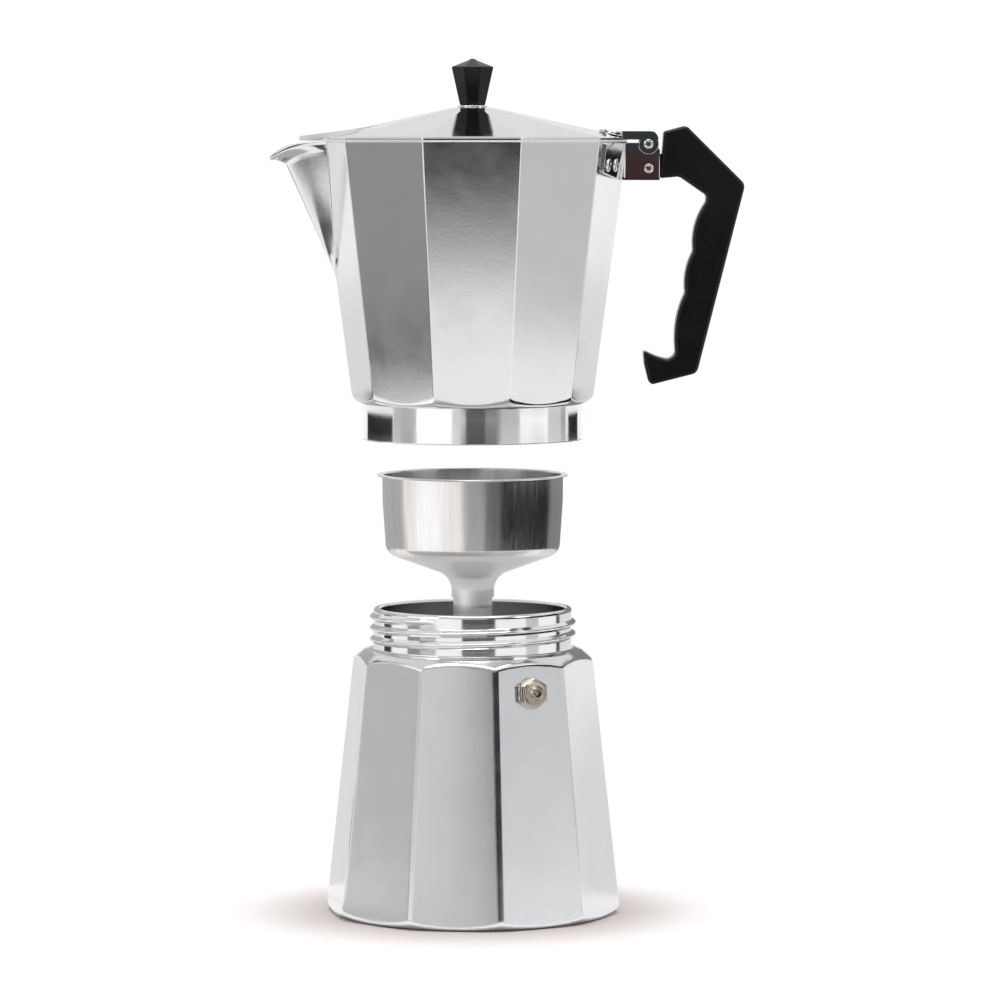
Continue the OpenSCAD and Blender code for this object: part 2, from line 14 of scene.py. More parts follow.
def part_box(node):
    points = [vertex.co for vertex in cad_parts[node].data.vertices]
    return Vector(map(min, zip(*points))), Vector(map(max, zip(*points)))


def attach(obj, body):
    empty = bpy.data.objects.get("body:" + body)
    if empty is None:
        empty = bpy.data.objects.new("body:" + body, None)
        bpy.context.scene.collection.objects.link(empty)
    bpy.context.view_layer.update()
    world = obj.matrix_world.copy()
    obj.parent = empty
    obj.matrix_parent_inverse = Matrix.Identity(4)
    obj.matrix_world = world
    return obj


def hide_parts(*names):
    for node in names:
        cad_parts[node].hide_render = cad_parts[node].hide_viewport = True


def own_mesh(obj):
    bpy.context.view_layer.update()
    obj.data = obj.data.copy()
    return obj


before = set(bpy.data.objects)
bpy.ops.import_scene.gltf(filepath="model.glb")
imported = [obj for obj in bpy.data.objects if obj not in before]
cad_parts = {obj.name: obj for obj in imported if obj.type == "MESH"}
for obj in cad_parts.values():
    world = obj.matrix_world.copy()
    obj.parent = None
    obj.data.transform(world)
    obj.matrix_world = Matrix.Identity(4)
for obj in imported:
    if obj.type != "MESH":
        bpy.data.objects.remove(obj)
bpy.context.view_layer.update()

MM = 0.001
SIDES = 10
HALF_SIDE = pi / SIDES
FRONT = -pi / 2


def low(node):
    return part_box(node)[0] / MM


def high(node):
    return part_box(node)[1] / MM


FLANGE_Z = high("funnel_basket").z
STEM_LOW_Z = low("funnel_stem").z
TOP_Z = high("collector_shell").z
SKIRT_LOW_Z = low("collector_shell").z
SEAT_Z = SKIRT_LOW_Z + 22.45
KNOB_FOOT_Z = low("knob").z
KNOB_TOP_Z = high("knob").z

BOILER_TURN = radians(-6.7)
BOILER_FOOT_R = 66.7
BOILER_TAPER = 12.6 / 114
BOILER_WALL = 3.15
NECK_R = 44.4

COLLECTOR_TOP_R = 69.0
COLLECTOR_TAPER = 14.9 / 112
COLLECTOR_WALL = 2.52
SKIRT_R = 49.2
SKIRT_BORE_R = 46.6
SPOUT_DROP = 59.0
SPOUT_HALF_W = 14.5

HINGE_X = 78.05
HINGE_DROP = 1.2
RIVET_X = 78.2
RIVET_DROP = 12.0


# ---- materials


def new_material(name):
    material = bpy.data.materials.new(name)
    material.use_nodes = True
    return material


def set_inputs(tree, node, **values):
    """Sets a node's inputs by name, with _ for each space, or links them to outputs."""
    for name, value in values.items():
        socket = node.inputs[name.replace("_", " ")]
        if isinstance(value, bpy.types.NodeSocket):
            tree.links.new(value, socket)
        else:
            socket.default_value = value
    return node


def add_node(tree, kind, **values):
    return set_inputs(tree, tree.nodes.new("ShaderNode" + kind), **values)


def add_noise(tree, scale, stretch):
    """A noise texture in the piece's own coordinates, scaled per metre."""
    place = add_node(tree, "TexCoord")
    mapping = add_node(tree, "Mapping", Vector=place.outputs["Object"], Scale=stretch)
    noise = add_node(tree, "TexNoise", Vector=mapping.outputs["Vector"], Scale=scale, Detail=3.0)
    return noise.outputs["Fac"]


def add_range(tree, value, lowest, highest):
    """Maps the middle of a noise to a range of numbers."""
    node = add_node(tree, "MapRange", Value=value, From_Min=0.2, From_Max=0.8, To_Min=lowest,
                    To_Max=highest)
    return node.outputs["Result"]


def add_tint(tree, value, dark, light):
    """Blends between two colours by a noise."""
    ramp = add_node(tree, "ValToRGB", Fac=value)
    ramp.color_ramp.elements[0].position = 0.2
    ramp.color_ramp.elements[0].color = (*dark, 1)
    ramp.color_ramp.elements[1].position = 0.8
    ramp.color_ramp.elements[1].color = (*light, 1)
    return ramp.outputs["Color"]


def add_bumps(tree, bumps):
    """Stacks bump layers of (scale, stretch, depth in millimetres)."""
    normal = None
    for scale, stretch, depth in bumps:
        bump = add_node(tree, "Bump", Height=add_noise(tree, scale, stretch), Strength=1.0,
                        Distance=depth * MM)
        if normal:
            set_inputs(tree, bump, Normal=normal)
        normal = bump.outputs["Normal"]
    return normal


def look(name, dark, light, rough, bumps, blotch=40, stretch=(1, 1, 1), metallic=1.0,
         **fixed):
    """A procedural material, metal by default. rough is (least, most); fixed sets
    uniform sockets."""
    material = new_material(name)
    tree = material.node_tree
    tint = add_tint(tree, add_noise(tree, blotch, stretch), dark, light)
    wear = add_range(tree, add_noise(tree, blotch * 2.3, stretch), *rough)
    set_inputs(tree, tree.nodes["Principled BSDF"], Metallic=metallic, Base_Color=tint,
               Roughness=wear, Normal=add_bumps(tree, bumps), **fixed)
    return material


# How the noise is stretched along X, Y and Z.
EVEN = (1, 1, 1)
UPRIGHT = (1, 1, 0.03)
RINGED = (0.02, 0.02, 1)

CAST = look("cast_aluminium", (0.78, 0.785, 0.80), (0.84, 0.845, 0.86), (0.11, 0.155),
            [(70, EVEN, 0.006), (650, EVEN, 0.006)])
POLISHED = look("polished_aluminium", (0.72, 0.725, 0.735), (0.79, 0.795, 0.805),
                (0.05, 0.12), [(70, EVEN, 0.02), (1500, EVEN, 0.002)])
CAST_INSIDE = look("cast_aluminium_inside", (0.66, 0.66, 0.66), (0.76, 0.76, 0.76),
                   (0.42, 0.55), [(120, EVEN, 0.06), (1300, EVEN, 0.03)])
TURNED = look("turned_aluminium", (0.82, 0.82, 0.82), (0.9, 0.9, 0.9), (0.06, 0.14),
              [(900, RINGED, 0.004), (150, EVEN, 0.01)], 60, RINGED)
DRAWN = look("drawn_aluminium", (0.74, 0.73, 0.72), (0.86, 0.85, 0.84), (0.16, 0.26),
             [(1400, UPRIGHT, 0.006), (160, EVEN, 0.01)], 500, UPRIGHT)
SPUN = look("spun_aluminium", (0.80, 0.79, 0.78), (0.90, 0.89, 0.88), (0.36, 0.5),
            [(1200, RINGED, 0.012), (160, EVEN, 0.02)], 500, RINGED)
STEEL = look("mirror_steel", (0.72, 0.72, 0.73), (0.80, 0.80, 0.81), (0.03, 0.07),
             [(140, EVEN, 0.006), (1800, EVEN, 0.001)])
NICKEL = look("nickel_brass", (0.44, 0.39, 0.33), (0.58, 0.52, 0.45), (0.16, 0.26),
              [(1200, EVEN, 0.004), (300, EVEN, 0.01)], 120)
BRASS = look("raw_brass", (0.58, 0.42, 0.2), (0.72, 0.55, 0.28), (0.25, 0.4),
             [(900, RINGED, 0.006), (400, EVEN, 0.01)], 200)
BRIGHT = look("bright_washer", (0.80, 0.80, 0.80), (0.88, 0.88, 0.88), (0.1, 0.2),
              [(900, RINGED, 0.004), (300, EVEN, 0.01)], 120)
SPRING = look("spring_steel", (0.45, 0.45, 0.46), (0.6, 0.6, 0.6), (0.25, 0.4),
              [(1500, EVEN, 0.004)], 300)
RUBBER = look("white_rubber", (0.74, 0.73, 0.68), (0.82, 0.81, 0.77), (0.55, 0.7),
              [(900, EVEN, 0.03), (120, EVEN, 0.05)], 90, metallic=0.0)
BAKELITE = look("black_bakelite", (0.004, 0.003, 0.003), (0.007, 0.0055, 0.005),
                (0.2, 0.3), [(1100, EVEN, 0.006), (110, EVEN, 0.05)], 70, metallic=0.0,
                Specular_IOR_Level=0.3)

# The cast pieces' materials, with the numbers that their rows of faces go by.
CAST_LOOKS = [CAST, TURNED, CAST_INSIDE]
OUTSIDE = 0
MACHINED = 1
INSIDE = 2

for node, material in {
    "valve_plunger": BRASS,
    "valve_spring": SPRING,
    "valve_seat_ring": BRASS,
    "funnel_screen": SPUN,
    "gasket": RUBBER,
    "filter_plate": SPUN,
    "knob_screw": SPRING,
}.items():
    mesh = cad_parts[node].data
    mesh.materials.clear()
    mesh.materials.append(material)


# ---- shape tools


class Shape:
    """Points in millimetres and faces, gathered for one mesh."""

    def __init__(self):
        self.points = []
        self.faces = []
        self.kinds = []

    def add(self, points, faces):
        first = len(self.points)
        self.points += [Vector(p) for p in points]
        self.faces += [[first + i for i in face] for face in faces]
        self.kinds += [0] * len(faces)

    def rings(self, rings, kinds=0, caps=True, loop=False):
        """A skin over rings of equally many points. kinds is one material number,
        or one for each gap between rings."""
        count = len(rings[0])
        gaps = len(rings) if loop else len(rings) - 1
        points = [p for ring in rings for p in ring]
        if isinstance(kinds, int):
            kinds = [kinds] * gaps
        first = len(self.points)
        self.add(points, [])
        for i in range(gaps):
            a, b = first + i * count, first + (i + 1) % len(rings) * count
            for j in range(count):
                k = (j + 1) % count
                self.faces.append([a + j, a + k, b + k, b + j])
                self.kinds.append(kinds[i])
        if caps and not loop:
            self.faces.append([first + j for j in range(count)])
            self.faces.append([first + (len(rings) - 1) * count + j for j in range(count)])
            self.kinds += [kinds[0], kinds[-1]]
        return self

    def placed(self, matrix):
        """Moves all points so far by a matrix."""
        self.points = [matrix @ p for p in self.points]
        return self


def add_object(name, data):
    thing = bpy.data.objects.new(name, data)
    bpy.context.collection.objects.link(thing)
    return thing


def make(shape, name, body, looks, nodes=(), sharp=35):
    """Turns a shape into a piece that rides on a body and stands for CAD nodes."""
    mesh = bpy.data.meshes.new(name)
    mesh.from_pydata([p * MM for p in shape.points], [], shape.faces)
    mesh.polygons.foreach_set("material_index", shape.kinds)
    work = bmesh.new()
    work.from_mesh(mesh)
    bmesh.ops.remove_doubles(work, verts=work.verts[:], dist=0.001 * MM)
    bmesh.ops.recalc_face_normals(work, faces=work.faces[:])
    work.to_mesh(mesh)
    work.free()
    mesh.shade_smooth()
    mesh.set_sharp_from_angle(angle=radians(sharp))
    for material in looks:
        mesh.materials.append(material)
    piece = add_object(name, mesh)
    normals = piece.modifiers.new("normals", "WEIGHTED_NORMAL")
    normals.keep_sharp = True
    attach(piece, body)
    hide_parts(*nodes)
    return piece


def soft_min(a, b, width):
    """The smaller of two numbers, blended where they differ by less than width."""
    gap = max(width - abs(a - b), 0) / width
    return min(a, b) - gap * gap * width / 4


def soft_max(a, b, width):
    return -soft_min(-a, -b, width)


def curve(start, corner, end, t):
    """A point on the curve from start to end that bends towards a corner."""
    return start * (1 - t) ** 2 + corner * (2 * t * (1 - t)) + end * t * t


def soften(line, radius, closed=False, steps=4):
    """Rounds the corners of a line of 2D or 3D points."""
    line = [Vector(p) for p in line]
    result = []
    for i, p in enumerate(line):
        if not closed and i in (0, len(line) - 1):
            result.append(p)
            continue
        before, after = line[i - 1], line[(i + 1) % len(line)]
        if (p - before).angle(after - p, 0) < radians(14):
            result.append(p)
            continue
        start = p + (before - p).normalized() * min(radius, (before - p).length * 0.45)
        end = p + (after - p).normalized() * min(radius, (after - p).length * 0.45)
        result += [curve(start, p, end, k / steps) for k in range(steps + 1)]
    return result


def arc(cx, cy, r, start, end, steps):
    """Points of an arc, angles in degrees."""
    angles = [radians(start + (end - start) * i / steps) for i in range(steps + 1)]
    return [(cx + r * cos(a), cy + r * sin(a)) for a in angles]


def bow(p, q, rise, steps):
    """Points of a shallow arc from p to q that bulges to its left, without p."""
    p, q = Vector(p), Vector(q)
    left = Vector((p.y - q.y, q.x - p.x)).normalized()
    fractions = [i / steps for i in range(1, steps + 1)]
    return [p.lerp(q, t) + left * (rise * 4 * t * (1 - t)) for t in fractions]


def spread(start, end, count):
    """Numbers from start to end, in count equal steps."""
    return [start + (end - start) * i / count for i in range(count + 1)]


def polar(r, angle, z):
    return (r * cos(angle), r * sin(angle), z)


def turned(profile, count):
    """Rings round Z from a profile of (radius, height)."""
    angles = spread(0, 2 * pi, count)[:-1]
    return [[polar(r, a, z) for a in angles] for r, z in profile]


def tube(profile, count=96):
    """A shape turned round Z from a closed profile."""
    return Shape().rings(turned(profile, count), caps=False, loop=True)


def faceted(angle, corner_r, sides=SIDES, rounding=1.2):
    """Radius of a regular polygon with rounded corners, one of them at angle 0."""
    half = pi / sides
    off = abs((angle + half) % (2 * half) - half)
    flat_r = corner_r * cos(half)
    centre = (flat_r - rounding) / cos(half)
    if off < atan2(rounding * sin(half), centre + rounding * cos(half)):
        return centre * cos(off) + sqrt(rounding ** 2 - (centre * sin(off)) ** 2)
    return flat_r / cos(half - off)


def facet_angles(sides=SIDES, turn=0.0, rounding_angle=0.4):
    """Angles for a ring's points, closer together at the corners."""
    half = 180 / sides
    near = [rounding_angle * f for f in (0.33, 0.66, 1, 1.6, 3.5)]
    near = sorted(near + [half * f for f in (0.16, 0.33, 0.5, 0.67, 0.84)])
    offsets = [-a for a in reversed(near)] + [0] + near + [half]
    return [radians(corner * 2 * half + off) + turn for corner in range(sides) for off in offsets]


def clearance(point, outline):
    """Least distance from a point to a closed outline."""
    best = 1e9
    for a, b in zip(outline, outline[1:] + outline[:1]):
        along = b - a
        t = min(1, max(0, (point - a).dot(along) / along.length_squared))
        best = min(best, (point - a - along * t).length)
    return best


def inset(outline, distance):
    """A closed 2D outline moved inwards, less far where it is narrow."""
    count = len(outline)
    area = sum(a.x * b.y - b.x * a.y for a, b in zip(outline, outline[1:] + outline[:1]))
    side = 1 if area > 0 else -1
    result = []
    for i, p in enumerate(outline):
        a = (p - outline[i - 1]).normalized()
        b = (outline[(i + 1) % count] - p).normalized()
        inward = Vector((-a.y - b.y, a.x + b.x)) * (side / max(0.4, 1 + a.dot(b)))
        step = distance
        while step > 0.05 and clearance(p + inward * step, outline) < step * 0.93:
            step *= 0.8
        result.append(p + inward * step)
    return result


def untangle(outline):
    """Pulls small loops of an outline together at the point where they cross."""
    count = len(outline)
    for i in range(count):
        for reach in range(min(40, count - 2), 1, -1):
            a, b = outline[i], outline[(i + 1) % count]
            c, d = outline[(i + reach) % count], outline[(i + reach + 1) % count]
            crossing = intersect_line_line_2d(a, b, c, d)
            if crossing:
                for k in range(1, reach + 1):
                    outline[(i + k) % count] = crossing
                break
    return outline


def clean(outline, least=0.02):
    """Leaves out points that lie on the one before them."""
    kept = []
    for p in outline:
        p = Vector(p)
        if not kept or (p - kept[-1]).length > least:
            kept.append(p)
    if (kept[0] - kept[-1]).length <= least:
        kept.pop()
    return kept


def plate(outline, middle, half_w, rounding, steps=4):
    """Rings of an outline in X and in height over the collector's edge. It stands
    from middle - half_w to middle + half_w along Y, with rounded rims."""
    outline = clean(outline)
    rings = []
    for side in (-1, 1):
        edge = []
        for k in range(steps + 1):
            a = pi / 2 * k / steps
            shape = untangle(inset(outline, rounding * (1 - sin(a))))
            y = middle + side * (half_w - rounding + rounding * cos(a))
            edge.append([(p.x, y, p.y + TOP_Z) for p in shape])
        rings += edge if side < 0 else edge[::-1]
    return rings


# ---- boiler


FOOT_FLAT_R = 59.8
FOOT_BEND = 7.5
BOILER_FLOOR_Z = 3.5
SHOULDER_Z = 113
MOUTH_Z = 137
NECK_BORE_R = 41.2
PAST_CORNERS = 70


def boiler_corner(z):
    return BOILER_FOOT_R - BOILER_TAPER * z


def boiler_rows():
    """Rows of (height, turned radius, corner radius of the flat sides, material).
    They run from the middle of the foot up the outside and back down the inside."""
    rows = [(0.9, r, 0, OUTSIDE) for r in (4, 30, 49.5)]

    def inner_row(r, z):
        rows.append((z, r, boiler_corner(z) - BOILER_WALL, INSIDE))

    rows += [(z, r, 0, OUTSIDE) for r, z in ((50.6, 0.3), (51.4, 0), (FOOT_FLAT_R, 0))]
    for a in spread(0, pi / 2, 16)[1:]:
        z = FOOT_BEND * (1 - cos(a))
        rows.append((z, FOOT_FLAT_R + FOOT_BEND * sin(a), boiler_corner(z), OUTSIDE))
    for z in (9, 14, 30, 60, 90, 108, 111, 112.4):
        limit = FOOT_FLAT_R + FOOT_BEND + max(0, z - 9) * 0.02
        rows.append((z, limit, boiler_corner(z), OUTSIDE))
    for z in spread(SHOULDER_Z, SHOULDER_Z + 5, 12):
        rows.append((z, 55.4 - (z - SHOULDER_Z) * 1.3, boiler_corner(z), OUTSIDE))
    neck = soften([(48.0, 118.1), (46.9, 118.5), (NECK_R, 118.6), (NECK_R, 128),
                   (NECK_R, MOUTH_Z - 0.9), (NECK_R - 0.8, MOUTH_Z),
                   (NECK_BORE_R + 0.6, MOUTH_Z), (NECK_BORE_R, MOUTH_Z - 0.6),
                   (NECK_BORE_R, 120)], 0.7)
    rows += [(z, r, 0, MACHINED) for r, z in neck]
    for r, z in soften([(NECK_BORE_R, 119), (NECK_BORE_R, 109.4), (50, 106.4)], 2.5):
        inner_row(r, z)
    for z in (104, 90, 60, 30, 14, 11.2):
        inner_row(PAST_CORNERS, z)
    for a in spread(0, pi / 2, 9):
        inner_row(55.8 + FOOT_BEND * cos(a), BOILER_FLOOR_Z + FOOT_BEND * (1 - sin(a)))
    rows += [(BOILER_FLOOR_Z, r, 0, INSIDE) for r in (40, 20, 4)]
    return rows


def boiler_rings():
    """The boiler's rows, each flat side slightly swollen between its corners."""
    angles = facet_angles(turn=BOILER_TURN, rounding_angle=1.3)
    rings = []
    for z, turned_r, corner_r, _ in boiler_rows():
        ring = []
        for a in angles:
            r = turned_r
            if corner_r:
                side = (a - BOILER_TURN) % (2 * HALF_SIDE) / HALF_SIDE - 1
                swell = 0.22 * (1 - side * side)
                r = soft_min(turned_r, faceted(a - BOILER_TURN, corner_r, SIDES, 4.5) + swell, 0.9)
            ring.append(polar(r, a, z))
        rings.append(ring)
    return rings


THREAD_PITCH = 5.0


def thread(root_r, tip_r, bottom, turns, steps=60):
    """Rings of a helical ridge of rounded section that fades in and out."""
    section = soften([(0, -2.2), (0.12, -1.9), (1, -0.4), (1, 0.4), (0.12, 1.9), (0, 2.2)], 0.3)
    count = round(turns * steps)
    rings = []
    for i in range(count + 1):
        a = 2 * pi * i / steps
        grow = min(1, (i + 0.5) / (steps / 8), (count - i + 0.5) / (steps / 8))
        ring = []
        for out, up in section:
            r = root_r + (tip_r - root_r) * out * grow
            ring.append(polar(r, a, bottom + THREAD_PITCH * i / steps + up))
        rings.append(ring)
    return rings


boiler = Shape()
boiler.rings(boiler_rings(), [row[3] for row in boiler_rows()][1:])
boiler.rings(thread(NECK_R - 0.3, 46.2, 120.4, 2.7), MACHINED)
make(boiler, "boiler", "boiler", CAST_LOOKS, ["boiler_shell"])


# ---- safety valve


VALVE_TURN = BOILER_TURN - 3 * HALF_SIDE
VALVE_Z = 103.0
VALVE_R = boiler_corner(VALVE_Z) * cos(HALF_SIDE)
VALVE_LEAN = pi / 2 - atan2(BOILER_TAPER * cos(HALF_SIDE), 1)
AT_VALVE = (Matrix.Rotation(VALVE_TURN, 4, "Z") @ Matrix.Translation((VALVE_R, 0, VALVE_Z))
            @ Matrix.Rotation(VALVE_LEAN, 4, "Y"))


def squash_spring():
    """Gives the valve's spring a mesh of its own."""
    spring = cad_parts["valve_spring"]
    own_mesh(spring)


squash_spring()


def hexagon_rings(flats, start, end, rounding=0.35):
    """A hexagonal nut with broken edges."""
    angles = facet_angles(6, rounding_angle=2.5)
    rings = []
    for z, shrink in ((start, rounding), (start + rounding, 0), (end - rounding, 0),
                      (end, rounding)):
        corner = flats / 2 / cos(pi / 6) - shrink
        rings.append([polar(faceted(a, corner, 6, 0.3), a, z) for a in angles])
    return rings


def valve_profile():
    """Threaded end, collar, shoulder and nozzle, and back down the bore."""
    outside = [(4.8, -7), (4.8, 0.2), (5.1, 0.7), (5.1, 3.7), (5.6, 3.75), (5.6, 4.9),
               (5.1, 5.35), (3.3, 5.15), (2.75, 6.1), (2.7, 6.3), (2.35, 6.6)]
    bore = [(1.85, 6.6), (1.65, 6.35), (1.65, 3.8), (3.2, 3.75), (3.2, -6.9)]
    return soften(outside + bore, 0.22, steps=3)


valve = tube(valve_profile(), 64)
valve.rings(hexagon_rings(12, 0.75, 2.25))
valve.rings(hexagon_rings(12, 2.8, 4.3))
make(valve.placed(AT_VALVE), "valve", "boiler", [NICKEL], ["valve_body"])

washer = tube(soften([(4.84, 0.02), (6.5, 0.02), (6.5, 0.7), (4.84, 0.7)], 0.2, True))
make(washer.placed(AT_VALVE), "valve_ring", "boiler", [BRIGHT],
     ["valve_washer"])


# ---- funnel


STEM_R = 8.66
STEM_BORE_R = 7.66
CONE_SLOPE = 20
CORNER_X = 33
CORNER_Z = -31
CORNER_BEND = 6
THROAT_BEND = 9


def basket_side(t):
    """The basket's sheet, moved inwards by t: wall, corner, cone and throat."""
    slope = radians(CONE_SLOPE)
    corner = arc(CORNER_X, CORNER_Z, CORNER_BEND - t, 0, CONE_SLOPE - 90, 14)
    throat_r = STEM_R + 0.84
    centre_x = throat_r + THROAT_BEND
    top_x = centre_x - THROAT_BEND * sin(slope)
    outer_x, outer_z = arc(CORNER_X, CORNER_Z, CORNER_BEND, 0, CONE_SLOPE - 90, 14)[-1]
    centre_z = outer_z - tan(slope) * (outer_x - top_x) - THROAT_BEND * cos(slope)
    throat = arc(centre_x, centre_z, THROAT_BEND + t, 90 + CONE_SLOPE, 180, 14)
    return [(40.4 - t, -1.6), (40.3 - t, -12), (39.5 - t, -24)] + corner + throat + [
        (throat_r - t, centre_z - 3)]


basket_outside = basket_side(0)
THROAT_Z = basket_outside[-1][1]
rolled_flange = [(42.2, -0.8), (42.6, -0.72), (42.8, -0.4), (42.6, -0.11), (42.2, -0.03)]
basket = Shape()
basket_line = (basket_outside[::-1] + [(40.55, -1.0), (41, -0.8)] + rolled_flange
               + [(40.3, -0.03), (39.75, -0.25), (39.6, -0.9)] + basket_side(0.8)[1:])
CONE_TOP_Z = -34
kinds = [1 if z < CONE_TOP_Z else 0 for _, z in basket_line]
basket.rings(turned([(r, z + FLANGE_Z) for r, z in basket_line], 128), kinds, caps=False,
             loop=True)
make(basket, "funnel_basket_sheet", "funnel", [DRAWN, SPUN],
     ["funnel_basket"])

stem_line = soften([(STEM_BORE_R, FLANGE_Z + THROAT_Z + 3), (STEM_BORE_R, STEM_LOW_Z + 0.6),
                    (STEM_BORE_R + 0.4, STEM_LOW_Z), (STEM_R, STEM_LOW_Z),
                    (STEM_R, FLANGE_Z + THROAT_Z + 3)], 0.25)
make(tube(stem_line, 72), "funnel_tube", "funnel", [SPUN], ["funnel_stem"])


# ---- collector


NOSE_STEPS = (0.02, 0.05, 0.1, 0.18, 0.28, 0.4, 0.52, 0.64, 0.74, 0.82, 0.88, 0.93, 0.965,
              0.99)
SIDE_STEPS = (0.2, 0.4, 0.6, 0.8, 0.92, 0.97)
PLAIN_NOSE = radians(0.8)
SPOUT_FACET = 9 * HALF_SIDE
BACK_ANGLES = [a for a in facet_angles()
               if a <= SPOUT_FACET + 1e-6 or a > 2 * pi - SPOUT_FACET - 1e-6]
BACK_ANGLES = sorted(a - 2 * pi if a > pi else a for a in BACK_ANGLES)


def corner_at(drop):
    return COLLECTOR_TOP_R - COLLECTOR_TAPER * drop


def collector_ring(radius, z, spout=None):
    """A ring round the collector from the far side of the spout. radius(angle) gives
    the wall. spout is (crease half width, nose x, nose z, sag power), or None."""
    ring = [polar(radius(a), a, z) for a in BACK_ANGLES]
    crease = PLAIN_NOSE
    if spout:
        half_w, nose_x, nose_z, power = spout
        flat_x = radius(SPOUT_FACET) / cos(HALF_SIDE) - half_w * tan(HALF_SIDE)
        crease = atan2(half_w, flat_x)
    side = []
    for step in SIDE_STEPS:
        a = SPOUT_FACET + (HALF_SIDE - crease) * step
        side.append(polar(radius(a), a, z))
    if spout:
        side.append((-flat_x - 0.1, half_w, z))
        for u in NOSE_STEPS:
            w = (half_w * (1 - u) + min(1.8, half_w) * u) * sqrt(1 - u ** 10)
            side.append((-flat_x - (nose_x - flat_x) * u, w, z + (nose_z - z) * u ** power))
        tip = (-nose_x, 0, nose_z)
    else:
        side.append((radius(pi - crease) * -cos(crease), radius(pi - crease) * sin(crease), z))
        for u in NOSE_STEPS:
            a = pi - crease * (1 - u)
            side.append(polar(radius(a), a, z))
        tip = (-radius(pi), 0, z)
    return ring + side + [tip] + [(x, -y, height) for x, y, height in reversed(side)]


def wall(corner_r, turned_r=200.0, width=1.2):
    """The ten-sided wall's radius as a function of the angle."""
    return lambda a: soft_min(faceted(a, corner_r), turned_r, width)


def round_wall(r):
    return lambda a: r


def groove_wall(z):
    """The skirt's bore with its thread groove."""
    def radius(a):
        phase = ((z - SKIRT_LOW_Z - 3.4) / THREAD_PITCH - a / (2 * pi)) % 1 - 0.5
        inside = 3.5 < z - SKIRT_LOW_Z < 18
        depth = max(0, 1 - (abs(phase) * THREAD_PITCH / 1.5) ** 2) if inside else 0
        return SKIRT_BORE_R + 0.8 * depth
    return radius


def collector_rings():
    """All rings, from the underside out over the skirt, up the outside with the
    spout, over the rim and down the inside, each with a material number."""
    rows = []

    def turned_row(r, z):
        rows.append((collector_ring(round_wall(r), z), MACHINED))

    under = soften([(8, SEAT_Z + 2.6), (36, SEAT_Z + 2.6), (38, SEAT_Z + 2.4),
                    (38, SEAT_Z + 1.2), (42.4, SEAT_Z + 1.2), (42.4, SEAT_Z),
                    (SKIRT_BORE_R, SEAT_Z), (SKIRT_BORE_R, SEAT_Z - 2)], 0.3, steps=2)
    for r, z in under:
        turned_row(r, z)
    for z in spread(SKIRT_LOW_Z + 19, SKIRT_LOW_Z + 2.5, 33):
        rows.append((collector_ring(groove_wall(z), z), MACHINED))
    edge = soften([(SKIRT_BORE_R, SKIRT_LOW_Z + 1), (SKIRT_BORE_R + 0.5, SKIRT_LOW_Z),
                   (SKIRT_R - 0.3, SKIRT_LOW_Z), (SKIRT_R, SKIRT_LOW_Z + 0.3),
                   (SKIRT_R, SKIRT_LOW_Z + 15.6)], 0.25, steps=3)
    for r, z in edge:
        turned_row(r, z)
    for a in spread(radians(-75), 0, 26):
        z = TOP_Z - 106.95 + 10 * sin(a)
        bend = wall(corner_at(TOP_Z - z), 46.6 + 10 * cos(a), 1.6)
        rows.append((collector_ring(bend, z), OUTSIDE))
    for drop in (105, 102, 96, 86, 74, 64, 60.5):
        limit = 57 + (106 - drop) * 0.5
        rows.append((collector_ring(wall(corner_at(drop), limit), TOP_Z - drop), OUTSIDE))
    rows += [(ring, OUTSIDE) for ring in spout_outside() + rim_rings()]
    rows += [(ring, INSIDE) for ring in inside_rings()]
    return rows


def spout_row(drop, half_w, nose_x, nose_drop, power=3.0, gap=0.0):
    """A ring with the spout. drop and nose_drop count down from the collector's edge."""
    spout = (half_w, nose_x, TOP_Z - nose_drop, power)
    return collector_ring(wall(corner_at(drop) - gap), TOP_Z - drop, spout)


def spout_outside():
    """From the spout's root to just under the lip."""
    root_x = corner_at(SPOUT_DROP) + 0.1
    rings = []
    for i in range(25):
        up = i / 24
        nose_drop = SPOUT_DROP - (SPOUT_DROP - 9.8) * up
        nose_x = root_x + (83.2 - root_x) * up
        half_w = SPOUT_HALF_W * (0.05 + 0.88 * up)
        rings.append(spout_row(nose_drop - 4.8 * up * up, half_w, nose_x, nose_drop))
    lip = ((4.5, 83.9, 9.85), (4.0, 85.2, 9.15), (3.3, 86.9, 8.5), (2.6, 88.3, 8.35),
           (1.9, 89.6, 8.45), (1.3, 90.3, 8.05))
    for drop, nose_x, nose_drop in lip:
        rings.append(spout_row(drop, SPOUT_HALF_W * (0.96 - drop * 0.006), nose_x, nose_drop))
    rings.append(spout_row(0.7, SPOUT_HALF_W * 0.98, 90.5, 7.5, 3.2))
    return rings


def rim_rings():
    """The narrow flat top edge with its broken edges."""
    rows = ((0.3, 14.4, 90.4, 7.0, 0.0), (0.08, 14.3, 90.1, 6.75, 0.15),
            (0.0, 14.1, 89.7, 6.6, 0.4), (0.0, 13.0, 88.9, 6.4, 2.1),
            (0.1, 12.8, 88.5, 6.45, 2.4), (0.4, 12.6, 88.1, 6.6, 2.52))
    return [spout_row(drop, w, x, nose, 3.5, gap) for drop, w, x, nose, gap in rows]


